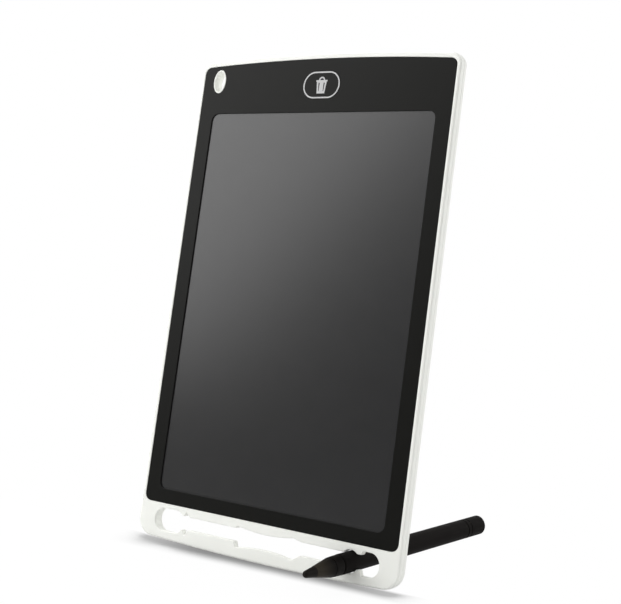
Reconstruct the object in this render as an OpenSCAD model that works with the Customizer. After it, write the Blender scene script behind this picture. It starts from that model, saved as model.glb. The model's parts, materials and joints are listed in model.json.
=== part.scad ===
// LCD writing tablet that leans back on its own stylus.
// Millimetres. The floor is z = 0, the tablet faces -Y and its width runs along X.
// Tablet pieces are drawn lying flat, x across, y up the face and z from the back to the front,
// and tablet_pose() stands them up. Stylus pieces are drawn along z from tip to tail.

/* [Case] */
// Width of the case
case_w = 144; // [140:1:156]
// Height of the case up its face, to the crown of the arched top edge
case_h = 228; // [222:1:240]
// Thickness of the case
case_t = 5.4; // [5.2:0.1:6]
// Drop of the arched top edge from its crown to the corners
top_drop = 2.4; // [1:0.1:5]
// Rise of the arched bottom edge from its middle to the corners
bottom_rise = 1.7; // [0.6:0.1:2]
// Radius of the two bottom corners
bottom_corner_r = 8; // [5:0.5:10]
// Radius of the two top corners
top_corner_r = 5.5; // [4:0.5:9]
// Rounding of the front edge
front_edge_r = 1; // [0.4:0.1:1.2]
// Rounding of the rear edge
rear_edge_r = 0.8; // [0.5:0.1:2]
// Draft of the rear half, how far its sides lean inwards towards the back
rear_draft = 0.3; // [0.1:0.05:0.5]
// Thickness of the back wall
floor_t = 1.2; // [1:0.1:1.4]
// Height of the seam between the two case halves above the back
seam_z = 2.7; // [2.4:0.1:2.8]
// Angle that the tablet leans back from upright
lean = 12.9; // [9:0.1:18]

/* [Front panel] */
// White rim left and right of the black panel
rim_side = 2.05; // [1.8:0.05:3]
// White rim above the black panel
rim_top = 2.6; // [2:0.1:4]
// Height of the white strip below the black panel
strip_h = 17; // [16.6:0.1:20]
// Corner radius of the panel
panel_r = 3.4; // [2:0.1:5]
// Thickness of the panel
panel_t = 0.45; // [0.35:0.05:0.5]
// Depth of the panel's face below the rim
panel_recess = 0.15; // [0:0.05:0.3]
// Width of the ledge that carries the panel
ledge_w = 2.6; // [2:0.1:2.8]
// Thickness of the adhesive frame
tape_t = 0.1; // [0.05:0.05:0.15]

/* [Writing window] */
// Black border left and right of the window
border_side = 7.7; // [7:0.1:11]
// Black border below the window
border_bottom = 6.4; // [6:0.1:10]
// Black border above the window
border_top = 24.8; // [24.5:0.1:30]
// Corner radius of the window
window_r = 3.6; // [1:0.1:6]
// Overlap of the film behind the border
film_overlap = 2.5; // [1.5:0.1:3]
// Thickness of the liquid-crystal film
film_t = 0.4; // [0.3:0.05:0.5]
// Thickness of the backing sheet
backing_t = 0.6; // [0.4:0.05:0.7]

/* [Erase key] */
// Width of the key
key_w = 20.2; // [16:0.2:23]
// Height of the key
key_h = 12.4; // [11:0.2:14]
// Travel of the key
key_travel = 0.3; // [0.2:0.05:0.3]
// Width of the printed line round the key
key_line = 0.65; // [0.5:0.05:1.2]
// Height of the printed bin sign
sign_h = 7.9; // [6:0.1:9]

/* [Loop hole] */
// Width of the oval loop hole
loop_w = 5.9; // [5:0.1:8]
// Height of the oval loop hole
loop_h = 9.9; // [8:0.1:12]
// Wall of the oval rim
loop_rim = 0.7; // [0.5:0.1:1.2]
// Distance from the panel's left edge to the hole's centre
loop_inset_x = 9.4; // [8:0.1:14]
// Distance from the panel's crown to the hole's centre
loop_inset_y = 9.1; // [8.5:0.1:12]

/* [Pen slot] */
// Distance from the left side of the case to the slot's end
slot_gap_left = 9.9; // [9:0.1:14]
// Distance from the right side of the case to the slot's end
slot_gap_right = 9.9; // [9:0.1:14]
// Height of the slot's centre line above the bottom edge
slot_y = 9.8; // [9.6:0.1:10.2]
// Height of the straight channel
channel_h = 5.6; // [5.4:0.1:6.4]
// Rise of the channel and the teeth above the slot's centre line
channel_rise = 0.3; // [0:0.1:0.5]
// Length of the left end pocket up to its retaining teeth
left_pocket_l = 16.8; // [13:0.1:18]
// Length of the right end pocket up to its retaining teeth
right_pocket_l = 10; // [9.8:0.1:11]
// Gap between two facing teeth
tooth_gap = 6; // [5.6:0.1:6.8]
// Width of a tooth at its root
tooth_w = 3; // [2:0.1:3.4]
// Length of the waisted finger opening
finger_l = 30.8; // [24:0.2:34]
// Shift of the finger opening from the middle of the slot
finger_shift = 2; // [-4:0.5:4]
// Drop of the finger opening below the slot's centre line
finger_drop = 0.5; // [0:0.1:0.6]
// Height of the finger opening at its ends
finger_end_h = 9.2; // [8:0.1:9.6]
// Height of the finger opening at its waist
finger_waist_h = 6.4; // [6.4:0.1:7.6]

/* [Stylus] */
// Diameter of the stylus
pen_d = 8.7; // [7.6:0.1:8.9]
// Length of the stylus
pen_l = 120.2; // [110:0.1:124]
// Length of the stylus in front of the case's middle plane
pen_front = 30.2; // [28:0.1:40]
// Angle that the stylus turns to the right behind the case
pen_yaw = 5.6; // [3:0.1:7]
// Length of the blunt nib
nib_l = 6.1; // [5:0.1:9]
// Diameter at the end of the nib
nib_d = 4.6; // [4:0.1:6]
// Length of the nib and the cone behind it
nose_l = 15.4; // [12:0.1:18]
// Diameter at the end of the cone
nose_d = 8.2; // [6.6:0.1:8.4]
// Radius of the writing tip
tip_r = 1.5; // [1:0.1:1.8]
// Length of the collar between the cone and the barrel
collar_l = 5.3; // [4:0.1:7]
// Length of the tail plug
tail_l = 12.6; // [8:0.1:14]
// Rounding of the tail's rim
tail_edge_r = 0.5; // [0.4:0.1:1.5]
// Wall of the barrel
barrel_wall = 1.2; // [0.8:0.1:1.6]
// Width of a turned groove
groove_w = 0.4; // [0.3:0.05:0.6]

/* [Electronics] */
// Width of the circuit board
board_w = 50; // [46:1:50]
// Height of the circuit board
board_h = 15.6; // [14:0.2:16]
// Thickness of the circuit board
board_t = 0.8; // [0.6:0.1:1]
// Width of the switch body
switch_w = 4.2; // [3.6:0.1:5]
// Height of the switch body above the board
switch_t = 0.7; // [0.6:0.05:0.85]
// Diameter of the switch plunger
plunger_d = 2; // [1.6:0.1:2.4]
// Diameter of the coin cell
cell_d = 20; // [20:0.1:20.2]
// Thickness of the coin cell
cell_t = 1.6; // [1.2:0.1:1.6]
// Distance of the cell from the tablet's centre line
cell_x = 40; // [39.5:0.5:42]
// Width of the battery door
door_w = 30; // [29:0.5:32]
// Height of the battery door
door_h = 25; // [24:0.5:26]
// Thread diameter of the screws
screw_d = 1.6; // [1.4:0.1:1.8]
// Head diameter of the screws
screw_head_d = 3; // [2.6:0.1:3.2]
// Height of the screw heads
screw_head_h = 0.6; // [0.4:0.05:0.6]

/* [Fits] */
// Clearance between seated pieces
fit_gap = 0.1; // [0.05:0.05:0.15]
// Clearance round the key and the battery door
key_gap = 0.25; // [0.2:0.05:0.3]
// Clearance left under the key when it is pressed home
key_clear = 0.15; // [0.1:0.05:0.2]
// Clearance between the stylus and the round ends of its slot
pen_gap = 0.65; // [0.6:0.05:1.2]
// Clearance round the coin cell
cell_gap = 0.3; // [0.2:0.05:0.4]
// Width of the seam between the case halves
seam_gap = 0.1; // [0.06:0.02:0.16]
// Radial clearance round threads and plunger
bore_gap = 0.05; // [0.03:0.01:0.1]

/* [Hidden] */
$fn = 64;
eps = 0.01;
through = 40;

white = "#f1f2ee";
black = "#24252a";
grey = "#5c5d5e";
steel = "#c9ccd0";
green = "#1f6b46";

// Arched top edge, one circle for the case, the panel and all that is set in from them
arch_r = (pow(case_w / 2, 2) + top_drop * top_drop) / (2 * top_drop);
arch_cy = case_h - arch_r;

// Arched bottom edge of the case
foot_r = (pow(case_w / 2, 2) + bottom_rise * bottom_rise) / (2 * bottom_rise);
edge_steps = 4;

// Panel, window and film
panel_w = case_w - 2 * rim_side;
panel_top = case_h - rim_top;
window_w = panel_w - 2 * border_side;
window_y = strip_h + border_bottom;
window_h = panel_top - border_top - window_y;
film_w = window_w + 2 * film_overlap;
film_y = window_y - film_overlap;
film_h = window_h + 2 * film_overlap;
film_top = film_y + film_h;
backing_inset = 1.3;

// Layers, counted from the back. The board is placed from the key, and its posts fill the rest.
panel_face = case_t - panel_recess;
panel_z = panel_face - panel_t;
ledge_z = panel_z - tape_t;
film_z = ledge_z - film_t;
backing_z = film_z - backing_t;
frame_z = seam_z + seam_gap / 2;
cover_top = seam_z - seam_gap / 2;
lip_h = 0.7;
lip_w = 0.8;
lip_inset = 1.7;
cavity_step = 1;
flange_w = 1.2;
flange_t = 0.3;
flange_top = ledge_z - key_gap;
flange_z = flange_top - flange_t;
switch_top = flange_z - key_travel - key_clear;
board_top = switch_top - switch_t;
board_z = board_top - board_t;
plunger_top = switch_top + key_travel + bore_gap;

// Key and switch
key_x = 0.2;
key_rise = 0.2;
key_y = (film_top + panel_top - ledge_w) / 2 + key_rise;
key_proud = 0.08;
key_face = panel_face + key_proud;
pad_d = 3;
pad_z = plunger_top + bore_gap;
pad_top = (flange_z + key_face) / 2;
print_t = 0.05;

// Loop hole
loop_x = -panel_w / 2 + loop_inset_x;
loop_y = panel_top - loop_inset_y;
loop_tube = 1.2;
loop_web = loop_h * 2 / 3;

// Pen slot
slot_x0 = -case_w / 2 + slot_gap_left;
slot_x1 = case_w / 2 - slot_gap_right;
slot_r = pen_d / 2 + pen_gap;
left_tooth_x = slot_x0 + left_pocket_l;
right_tooth_x = slot_x1 - right_pocket_l;
tooth_tip = 1;
notch_w = 2.2;
notch_top = 0.3;
left_pocket_x = left_tooth_x - tooth_tip / 2 - sqrt(slot_r * slot_r - tooth_gap * tooth_gap / 4);
cradle_inset = 3.2;
cradle_x = right_tooth_x - tooth_w / 2 - cradle_inset;
finger_x = (slot_x0 + slot_x1) / 2 + finger_shift;
finger_slope_left = 1;
finger_slope_right = 4.2;
finger_steps = 16;
slot_relief = 0.5;
cradle_gap = 0.25;

// Battery, its door and the board's right end beside them
cell_drop = 1.2;
cell_y = key_y - cell_drop;
cell_z = floor_t + fit_gap;
door_t = floor_t - fit_gap;
door_margin = 2.5;
door_x = cell_x - cell_d / 2 - door_margin + door_w / 2;
door_r = 2.5;
door_notch = [1.4, 7, 0.4];
door_notch_inset = 2.6;
deck_t = 0.7;
deck_rim = 2;
board_x1 = door_x - door_w / 2 - deck_rim - 2 * fit_gap;
board_x0 = board_x1 - board_w;
foot_l = 2;
foot_x = board_x1 - 2 * foot_l;
door_screw_inset = 3.4;
screw_x = door_x + door_w / 2 - door_screw_inset;
screw_l = 2.1;
screw_boss_d = 4.4;
screw_recess_w = 0.4;
screw_end_gap = 0.2;
head_sink = 0.1;
strip_t = 0.2;
strip_w = 3;
strip_dimple_d = 1.6;
cell_cup_t = 0.25;
cell_cup_w = 1.2;

// Board screws, one near the board's left end and one clear of the key's flange
board_screw_places = [[board_x0 + screw_head_d, key_y],
    [key_x + key_w / 2 + flange_w + screw_head_d, key_y + board_h / 2 - screw_head_d]];

// Chip, coil, capacitors and resistors on the board
chip = [4, 4.6, 0.9];
chip_x = -6;
chip_y = -1.6;
chip_pin = [0.9, 0.5, 0.3];
chip_pin_pitch = 1.1;
coil = [3.6, 3.6, 1.1];
coil_x = 4;
coil_y = -4.6;
capacitor = [1.2, 2, 0.6];
capacitor_x = -8;
capacitor_y = 5.8;
capacitor_pitch = 2.6;
resistor = [0.8, 1.6, 0.45];
resistor_x = 3.4;
resistor_y = 0.6;
resistor_pitch = 1.8;

// Film's tail
tail_w = 7;
tail_t = 0.15;
tail_bond = 1;
tail_inset = 9;
tail_x = board_x0 + tail_inset;
tail_land = 0.8;
tape_edge = 0.6;

// Lattice of ribs
rib_w = 1;
rib_inset = 8;
rib_columns = 4;
rib_rows = 5;

// Turned details of the stylus
spigot_l = 8;
spigot_r = pen_d / 2 - barrel_wall - bore_gap;
groove_d = 0.35;
collar_step = 0.1;
collar_steps = 4;
tail_ring = 2.2;

// Height of the lowest point of the leaned tablet's rear edge, which goes down to the floor
function rear_z(i) = rear_edge_r * (1 - cos(90 * i / edge_steps));
function rear_inset(i) = rear_edge_r * (1 - sin(90 * i / edge_steps))
    + rear_draft * (1 - rear_z(i) / cover_top);
lift = min([for (i = [0:edge_steps]) rear_inset(i) * cos(lean) + rear_z(i) * sin(lean)]);

// Stylus pose. The tail's rim touches the floor and the axis passes the middle of the cradle.
pen_r = pen_d / 2;
cross_y = slot_y * sin(lean) - case_t / 2 * cos(lean);
cross_z = slot_y * cos(lean) + case_t / 2 * sin(lean) - lift;
reach = pen_l - pen_front - tail_edge_r;
pen_core = pen_r - tail_edge_r;
pen_dip = asin((cross_z - tail_edge_r) / norm([reach, pen_core])) - atan2(pen_core, reach);
// The origin is on the floor under the middle of the whole, from the tip to the tail
pen_dy = cos(pen_dip) * cos(pen_yaw);
// Shift of the stylus axis in the slot, from the middle of the case's thickness out to the front face
pen_out = pen_dy * cos(lean) + sin(pen_dip) * sin(lean);
pen_up = pen_dy * sin(lean) - sin(pen_dip) * cos(lean);
pen_sway = -case_t / 2 / pen_out * [sin(pen_yaw) * cos(pen_dip), pen_up];
tip_y = cross_y - (pen_front - tip_r) * pen_dy - tip_r;
tail_y = cross_y + reach * pen_dy + pen_core * sqrt(1 - pen_dy * pen_dy) + tail_edge_r;
mid_y = (tip_y + tail_y) / 2;

// Points of an arc
function arc(cx, cy, r, a0, a1, n) = [for (i = [0:n]) let (a = a0 + (a1 - a0) * i / n)
    [cx + r * cos(a), cy + r * sin(a)]];

// Arched top with its two corners, anticlockwise: half width, arch radius, corner radius
function arched_top(hw, ar, r) = let (
    cx = hw - r,
    cy = arch_cy + sqrt(pow(ar - r, 2) - cx * cx),
    at = atan2(cy - arch_cy, cx))
    concat(arc(cx, cy, r, 0, at, 8), arc(0, arch_cy, ar, at, 180 - at, 24),
        arc(-cx, cy, r, 180 - at, 180, 8));

// Arched bottom with its two corners: half width, height of its middle, arch radius, corner radius
function arched_foot(hw, y0, fr, r) = let (
    cx = hw - r,
    cy = y0 + fr - sqrt(pow(fr - r, 2) - cx * cx),
    at = atan2(y0 + fr - cy, cx))
    concat(arc(-cx, cy, r, 180, 180 + at, 8), arc(0, y0 + fr, fr, 180 + at, 360 - at, 24),
        arc(cx, cy, r, 360 - at, 360, 8));

// Straight bottom with its two corners
function straight_foot(hw, y0, r) = concat(
    arc(-hw + r, y0 + r, r, 180, 270, 8), arc(hw - r, y0 + r, r, 270, 360, 8));

function case_outline(inset) = concat(
    arched_foot(case_w / 2 - inset, inset, foot_r - inset, bottom_corner_r - inset),
    arched_top(case_w / 2 - inset, arch_r - inset, top_corner_r - inset));
function panel_outline(inset) = concat(
    straight_foot(panel_w / 2 - inset, strip_h + inset, panel_r),
    arched_top(panel_w / 2 - inset, arch_r - rim_top - inset, panel_r));

// Stands a flat piece up, leaned back, with its rear bottom edge on the floor
module tablet_pose() {
    translate([0, -mid_y, -lift]) rotate([90 - lean, 0, 0]) children();
}

// Lays a stylus piece through the slot with its tail on the floor
module pen_pose() {
    translate([cradle_x, cross_y - mid_y, cross_z]) rotate([0, 0, -pen_yaw])
        rotate([-(90 + pen_dip), 0, 0]) translate([0, 0, -pen_front]) children();
}

module slab(z, h) {
    translate([0, 0, z]) linear_extrude(h) children();
}

module round_rect(w, h, r) {
    polygon(concat(
        arc(-w / 2 + r, -h / 2 + r, r, 180, 270, 6), arc(w / 2 - r, -h / 2 + r, r, 270, 360, 6),
        arc(w / 2 - r, h / 2 - r, r, 0, 90, 6), arc(-w / 2 + r, h / 2 - r, r, 90, 180, 6)));
}

// Oblong with round ends
module oblong(w, h) {
    square([w - h, h], center = true);
    for (s = [-1, 1]) translate([s * (w - h) / 2, 0]) circle(d = h);
}

module oval(w, h) {
    polygon([for (i = [0:39]) let (a = i * 9) [w / 2 * cos(a), h / 2 * sin(a)]]);
}

module at_key() {
    translate([key_x, key_y]) children();
}

module at_loop() {
    translate([loop_x, loop_y]) children();
}

module window_2d(grow) {
    translate([0, window_y + window_h / 2])
        round_rect(window_w + 2 * grow, window_h + 2 * grow, window_r);
}

// A pair of teeth that face each other across the slot
module teeth_2d(x) {
    for (s = [-1, 1]) let (root = slot_r + eps, tip = tooth_gap / 2 + s * channel_rise)
        translate([x, slot_y]) scale([1, s])
            polygon([[-tooth_w / 2, root], [-tooth_tip / 2, tip],
                [tooth_tip / 2, tip], [tooth_w / 2, root]]);
}

// The pair of notches behind the left teeth, which slope down to the channel
module notches_2d(x) {
    for (s = [-1, 1]) let (foot = tooth_w / 2, low = channel_h / 2 + s * channel_rise)
        translate([x, slot_y]) scale([1, s])
            polygon([[0, 0], [0, slot_r], [foot + notch_top, slot_r],
                [foot + notch_w, low], [foot + notch_w, 0]]);
}

// Waisted opening for a finger, widest at its two ends
function finger_half(t) = (finger_waist_h + (finger_end_h - finger_waist_h) * t * t) / 2;
function finger_edge(s) = [for (i = [0:finger_steps]) let (t = 2 * i / finger_steps - 1)
    [t * finger_l / 2, s * finger_half(t) - finger_drop]];
module finger_2d() {
    left = -finger_l / 2 - finger_slope_left;
    right = finger_l / 2 + finger_slope_right;
    top = channel_rise + channel_h / 2;
    foot = channel_rise - channel_h / 2;
    upper = concat([[left, top]], finger_edge(1), [[right, top]]);
    lower = concat([[left, foot]], finger_edge(-1), [[right, foot]]);
    translate([finger_x, slot_y]) polygon(concat(upper, [for (i = [len(lower) - 1:-1:0]) lower[i]]));
}

// A straight stretch of the slot between two places across
module stretch_2d(x0, x1, h, rise = 0) {
    translate([x0, slot_y + rise - h / 2]) square([x1 - x0, h]);
}

// The pen slot of the front half: end pockets with teeth, and channels to the finger opening between them
module pen_slot_2d() {
    finger_x0 = finger_x - finger_l / 2 - finger_slope_left + eps;
    finger_x1 = finger_x + finger_l / 2 + finger_slope_right - eps;
    difference() {
        union() {
            for (x = [slot_x0 + slot_r, left_pocket_x]) translate([x, slot_y]) circle(r = slot_r);
            stretch_2d(slot_x0 + slot_r, left_pocket_x, 2 * slot_r);
            stretch_2d(left_pocket_x, left_tooth_x, tooth_gap, channel_rise);
            notches_2d(left_tooth_x);
            stretch_2d(left_tooth_x, finger_x0, channel_h, channel_rise);
            finger_2d();
            stretch_2d(finger_x1, cradle_x, channel_h, channel_rise);
            for (t = [0, 1])
                translate([cradle_x, slot_y] + t * pen_sway) circle(r = pen_r + cradle_gap);
            stretch_2d(cradle_x, right_tooth_x, tooth_gap, channel_rise);
            stretch_2d(right_tooth_x, slot_x1 - slot_r, 2 * slot_r);
            translate([slot_x1 - slot_r, slot_y]) circle(r = slot_r);
        }
        teeth_2d(left_tooth_x);
        teeth_2d(right_tooth_x);
    }
}

// The plain, slightly larger slot of the rear half
module rear_slot_2d() {
    hull() for (x = [slot_x0 + slot_r, slot_x1 - slot_r])
        translate([x, slot_y]) circle(r = slot_r + slot_relief);
}

// Front half of the case with rounded front edge
module front_shell() {
    hull() for (i = [0:edge_steps]) let (a = 90 * i / edge_steps)
        slab(frame_z, case_t - front_edge_r * (1 - cos(a)) - frame_z)
            polygon(case_outline(front_edge_r * (1 - sin(a))));
}

module front_frame() {
    color(white) tablet_pose() {
        difference() {
            front_shell();
            slab(ledge_z, through) polygon(panel_outline(-fit_gap));
            slab(0, through) polygon(panel_outline(ledge_w));
            slab(0, through) pen_slot_2d();
            slab(0, cover_top + lip_h + fit_gap) difference() {
                polygon(case_outline(lip_inset - fit_gap));
                polygon(case_outline(lip_inset + lip_w + fit_gap));
            }
        }
        // Rim of the loop hole and the web that ties it to the ledge
        difference() {
            union() {
                slab(frame_z, key_face - frame_z) at_loop()
                    oval(loop_w + 2 * loop_rim, loop_h + 2 * loop_rim);
                slab(frame_z, ledge_z - frame_z)
                    translate([-panel_w / 2 + ledge_w - eps, loop_y - loop_web / 2])
                        square([loop_inset_x - ledge_w, loop_web]);
            }
            slab(0, through) at_loop() oval(loop_w, loop_h);
        }
    }
}

// Rear half of the case with drafted sides and rounded rear edge
module rear_shell() {
    hull() {
        for (i = [0:edge_steps]) slab(rear_z(i), eps) polygon(case_outline(rear_inset(i)));
        slab(cover_top - eps, eps) polygon(case_outline(0));
    }
}

// Lattice of ribs behind the backing sheet
module ribs() {
    w = film_w - 2 * rib_inset;
    h = film_h - 3 * rib_inset;
    translate([-w / 2, film_y + rib_inset, floor_t - eps]) linear_extrude(backing_z - fit_gap - floor_t) {
        for (i = [0:rib_columns - 1])
            translate([i * w / (rib_columns - 1) - rib_w / 2, 0]) square([rib_w, h]);
        for (i = [0:rib_rows - 1])
            translate([0, i * h / (rib_rows - 1) - rib_w / 2]) square([w, rib_w]);
    }
}

module rear_cover() {
    color(white) tablet_pose() difference() {
        union() {
            difference() {
                rear_shell();
                slab(floor_t, through) polygon(panel_outline(ledge_w - cavity_step));
            }
            slab(cover_top - eps, lip_h + eps) difference() {
                polygon(case_outline(lip_inset));
                polygon(case_outline(lip_inset + lip_w));
            }
            ribs();
            slab(floor_t - eps, board_z - floor_t + eps)
                for (p = board_screw_places) translate(p) circle(d = screw_boss_d);
            slab(floor_t - eps, cover_top - floor_t + eps) at_loop()
                oval(loop_w + 2 * loop_tube, loop_h + 2 * loop_tube);
            // Deck over the battery door, with the boss for its screw
            slab(floor_t / 2, floor_t / 2 + deck_t) intersection() {
                translate([door_x, cell_y]) round_rect(door_w + 2 * deck_rim, door_h + 2 * deck_rim, door_r);
                polygon(case_outline(rear_edge_r + rear_draft));
            }
            translate([screw_x, cell_y, floor_t]) cylinder(d = screw_boss_d, h = screw_l);
        }
        slab(-1, through) at_loop() oval(loop_w, loop_h);
        slab(-1, through) rear_slot_2d();
        slab(-1, 1 + floor_t) translate([door_x, cell_y])
            round_rect(door_w, door_h, door_r);
        translate([cell_x, cell_y, -1]) cylinder(d = cell_d + 2 * cell_gap, h = through);
        translate([screw_x, cell_y, 0]) cylinder(d = screw_d + 2 * bore_gap, h = door_t + screw_l);
        for (p = board_screw_places) translate([p[0], p[1], floor_t / 2 - bore_gap])
            cylinder(d = screw_d + 2 * bore_gap, h = through);
    }
}

module front_panel() {
    color(black) tablet_pose() slab(panel_z, panel_t) difference() {
        polygon(panel_outline(0));
        window_2d(0);
        at_key() oblong(key_w + 2 * key_gap, key_h + 2 * key_gap);
        at_loop() oval(loop_w + 2 * (loop_rim + fit_gap), loop_h + 2 * (loop_rim + fit_gap));
    }
}

module panel_tape() {
    color("#c9b98a") tablet_pose() slab(ledge_z, tape_t) difference() {
        polygon(panel_outline(tape_edge));
        window_2d(tape_edge);
        at_key() oblong(key_w + 4 * key_gap, key_h + 4 * key_gap);
        at_loop() oval(loop_w + 2 * (loop_rim + tape_edge), loop_h + 2 * (loop_rim + tape_edge));
    }
}

module lcd_film() {
    color(grey) tablet_pose() slab(film_z, film_t) window_2d(film_overlap);
}

module backing_sheet() {
    color(black) tablet_pose() slab(backing_z, backing_t) window_2d(film_overlap - backing_inset);
}

// Ribbon bonded behind the film's upper edge and bent down to the board
module film_tail() {
    land_y = key_y - board_h / 2 + tail_land;
    path = [[film_top - tail_bond, film_z], [film_top + tail_bond / 2, film_z],
        [land_y, board_top + tail_t], [land_y + 3 * tail_bond, board_top + tail_t]];
    color("#b9772f") tablet_pose() translate([tail_x - tail_w / 2, 0, 0]) rotate([90, 0, 90])
        linear_extrude(tail_w)
            polygon(concat(path, [for (i = [len(path) - 1:-1:0]) [path[i][0], path[i][1] - tail_t]]));
}

module erase_key() {
    color(black) tablet_pose() difference() {
        union() {
            slab(flange_z, key_face - flange_z) at_key() oblong(key_w, key_h);
            slab(flange_z, flange_t) at_key() oblong(key_w + 2 * flange_w, key_h + 2 * flange_w);
        }
        translate([key_x, key_y, flange_z - 1])
            cylinder(d = pad_d + 2 * bore_gap, h = 1 + pad_top - flange_z + bore_gap);
    }
}

// Bin sign in shares of its height: tapered can with two slots, lid and handle
module bin_2d() {
    can_h = 0.7;
    can_top = 0.345;
    can_foot = 0.27;
    line = 0.07;
    lid_t = 0.09;
    lid_lap = 0.045;
    slot_in = 0.14;
    slot_out = 0.22;
    handle_r = 0.21;
    handle_t = 0.085;
    translate([0, -sign_h / 2]) scale([sign_h, sign_h]) {
        difference() {
            polygon([[-can_foot, 0], [can_foot, 0], [can_top, can_h], [-can_top, can_h]]);
            for (s = [-1, 1])
                polygon([[s * slot_in, 2 * line], [s * (slot_out - line / 2), 2 * line],
                    [s * slot_out, can_h - line], [s * slot_in, can_h - line]]);
        }
        translate([-can_top - lid_lap, can_h - eps]) square([2 * (can_top + lid_lap), lid_t]);
        translate([0, can_h + lid_t - 2 * eps]) intersection() {
            difference() {
                circle(r = handle_r);
                circle(r = handle_r - handle_t);
            }
            translate([-1, 0]) square(2);
        }
    }
}

module key_print() {
    color("#d9d9d6") tablet_pose() slab(key_face, print_t) at_key() {
        difference() {
            oblong(key_w, key_h);
            oblong(key_w - 2 * key_line, key_h - 2 * key_line);
        }
        bin_2d();
    }
}

module key_pad() {
    color("#77787a") tablet_pose() translate([key_x, key_y, pad_z])
        cylinder(d = pad_d, h = pad_top - pad_z);
}

module tact_switch() {
    color(black) tablet_pose() translate([key_x, key_y, board_top]) difference() {
        translate([-switch_w / 2, -switch_w / 2, 0]) cube([switch_w, switch_w, switch_t]);
        translate([0, 0, -1]) cylinder(d = plunger_d + 4 * bore_gap, h = through);
    }
}

module switch_plunger() {
    color(white) tablet_pose() translate([key_x, key_y, plunger_top - switch_t])
        cylinder(d = plunger_d, h = switch_t);
}

module circuit_board() {
    color(green) tablet_pose() difference() {
        translate([board_x0, key_y - board_h / 2, board_z]) cube([board_w, board_h, board_t]);
        for (p = board_screw_places)
            translate([p[0], p[1], 0]) cylinder(d = screw_d + 4 * bore_gap, h = through);
    }
}

// A box that stands on the board, placed from the left or right end of the key
module on_board(side, x, y, size) {
    translate([key_x + side * key_w / 2 + x - size[0] / 2, key_y + y - size[1] / 2, board_top]) cube(size);
}

module controller_chip() {
    color(black) tablet_pose() {
        on_board(-1, chip_x, chip_y, chip);
        for (s = [-1, 1], i = [-1.5:1:1.5])
            on_board(-1, chip_x + s * (chip[0] / 2 + chip_pin[1]), chip_y + i * chip_pin_pitch, chip_pin);
    }
}

module board_parts() {
    color("#8a7b63") tablet_pose() {
        on_board(1, coil_x, coil_y, coil);
        for (i = [0:2]) on_board(-1, capacitor_x + i * capacitor_pitch, capacitor_y, capacitor);
        for (i = [0:1]) on_board(1, resistor_x + i * resistor_pitch, resistor_y, resistor);
    }
}

// Cross-recess screw with its head upwards, the head's seat at z = 0
module screw(l) {
    difference() {
        cylinder(d = screw_head_d, h = screw_head_h);
        for (a = [0, 90]) rotate(a) translate([-screw_head_d / 3, -screw_recess_w / 2, screw_head_h / 2])
            cube([screw_head_d * 2 / 3, screw_recess_w, screw_head_h]);
    }
    translate([0, 0, -l]) cylinder(d = screw_d, h = l + eps);
}

module board_screws() {
    color(steel) tablet_pose() for (p = board_screw_places)
        translate([p[0], p[1], board_top]) screw(board_top - floor_t / 2 - bore_gap);
}

module coin_cell() {
    color(steel) tablet_pose() translate([cell_x, cell_y, cell_z]) {
        cylinder(d = cell_d, h = cell_t - cell_cup_t);
        cylinder(d = cell_d - 2 * cell_cup_w, h = cell_t);
    }
}

// Spring strip from the board over the cell's face
module cell_contact_top() {
    strip_z = cell_z + cell_t + fit_gap;
    color(steel) tablet_pose() translate([0, cell_y + cell_d / 4 - strip_w / 2, 0]) {
        translate([foot_x - foot_l, 0, board_top]) cube([foot_l + eps, strip_w, strip_t]);
        translate([foot_x, 0, min(board_top, strip_z)])
            cube([strip_t, strip_w, abs(strip_z - board_top) + strip_t]);
        translate([foot_x, 0, strip_z]) cube([cell_x - foot_x + strip_dimple_d, strip_w, strip_t]);
        translate([cell_x, strip_w / 2, strip_z - fit_gap + bore_gap / 2])
            cylinder(d = strip_dimple_d, h = fit_gap);
    }
}

// Spring leg against the cell's rim
module cell_contact_side() {
    leg_x = cell_x - cell_d / 2 - bore_gap - strip_t;
    leg_z = floor_t + deck_t + fit_gap;
    color(steel) tablet_pose() translate([0, cell_y - strip_w / 2, 0]) {
        translate([foot_x, 0, board_top]) cube([leg_x - foot_x + strip_t, strip_w, strip_t]);
        translate([leg_x, 0, leg_z]) cube([strip_t, strip_w, board_top - leg_z + eps]);
    }
}

module battery_door() {
    color(white) tablet_pose() difference() {
        slab(0, door_t) translate([door_x, cell_y])
            round_rect(door_w - 2 * key_gap, door_h - 2 * key_gap, door_r - key_gap);
        translate([screw_x, cell_y, -1])
            cylinder(d = screw_head_d + 4 * bore_gap, h = 1 + head_sink + screw_head_h + bore_gap);
        translate([screw_x, cell_y, -1]) cylinder(d = screw_d + 4 * bore_gap, h = through);
        // Finger notch at the end away from the screw
        translate([door_x - door_w / 2 + door_notch_inset, cell_y - door_notch[1] / 2, -1])
            cube([door_notch[0], door_notch[1], 1 + door_notch[2]]);
    }
}

module door_screw() {
    color(steel) tablet_pose() translate([screw_x, cell_y, head_sink + screw_head_h])
        mirror([0, 0, 1]) screw(door_t - head_sink - screw_head_h + screw_l - screw_end_gap);
}

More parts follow.
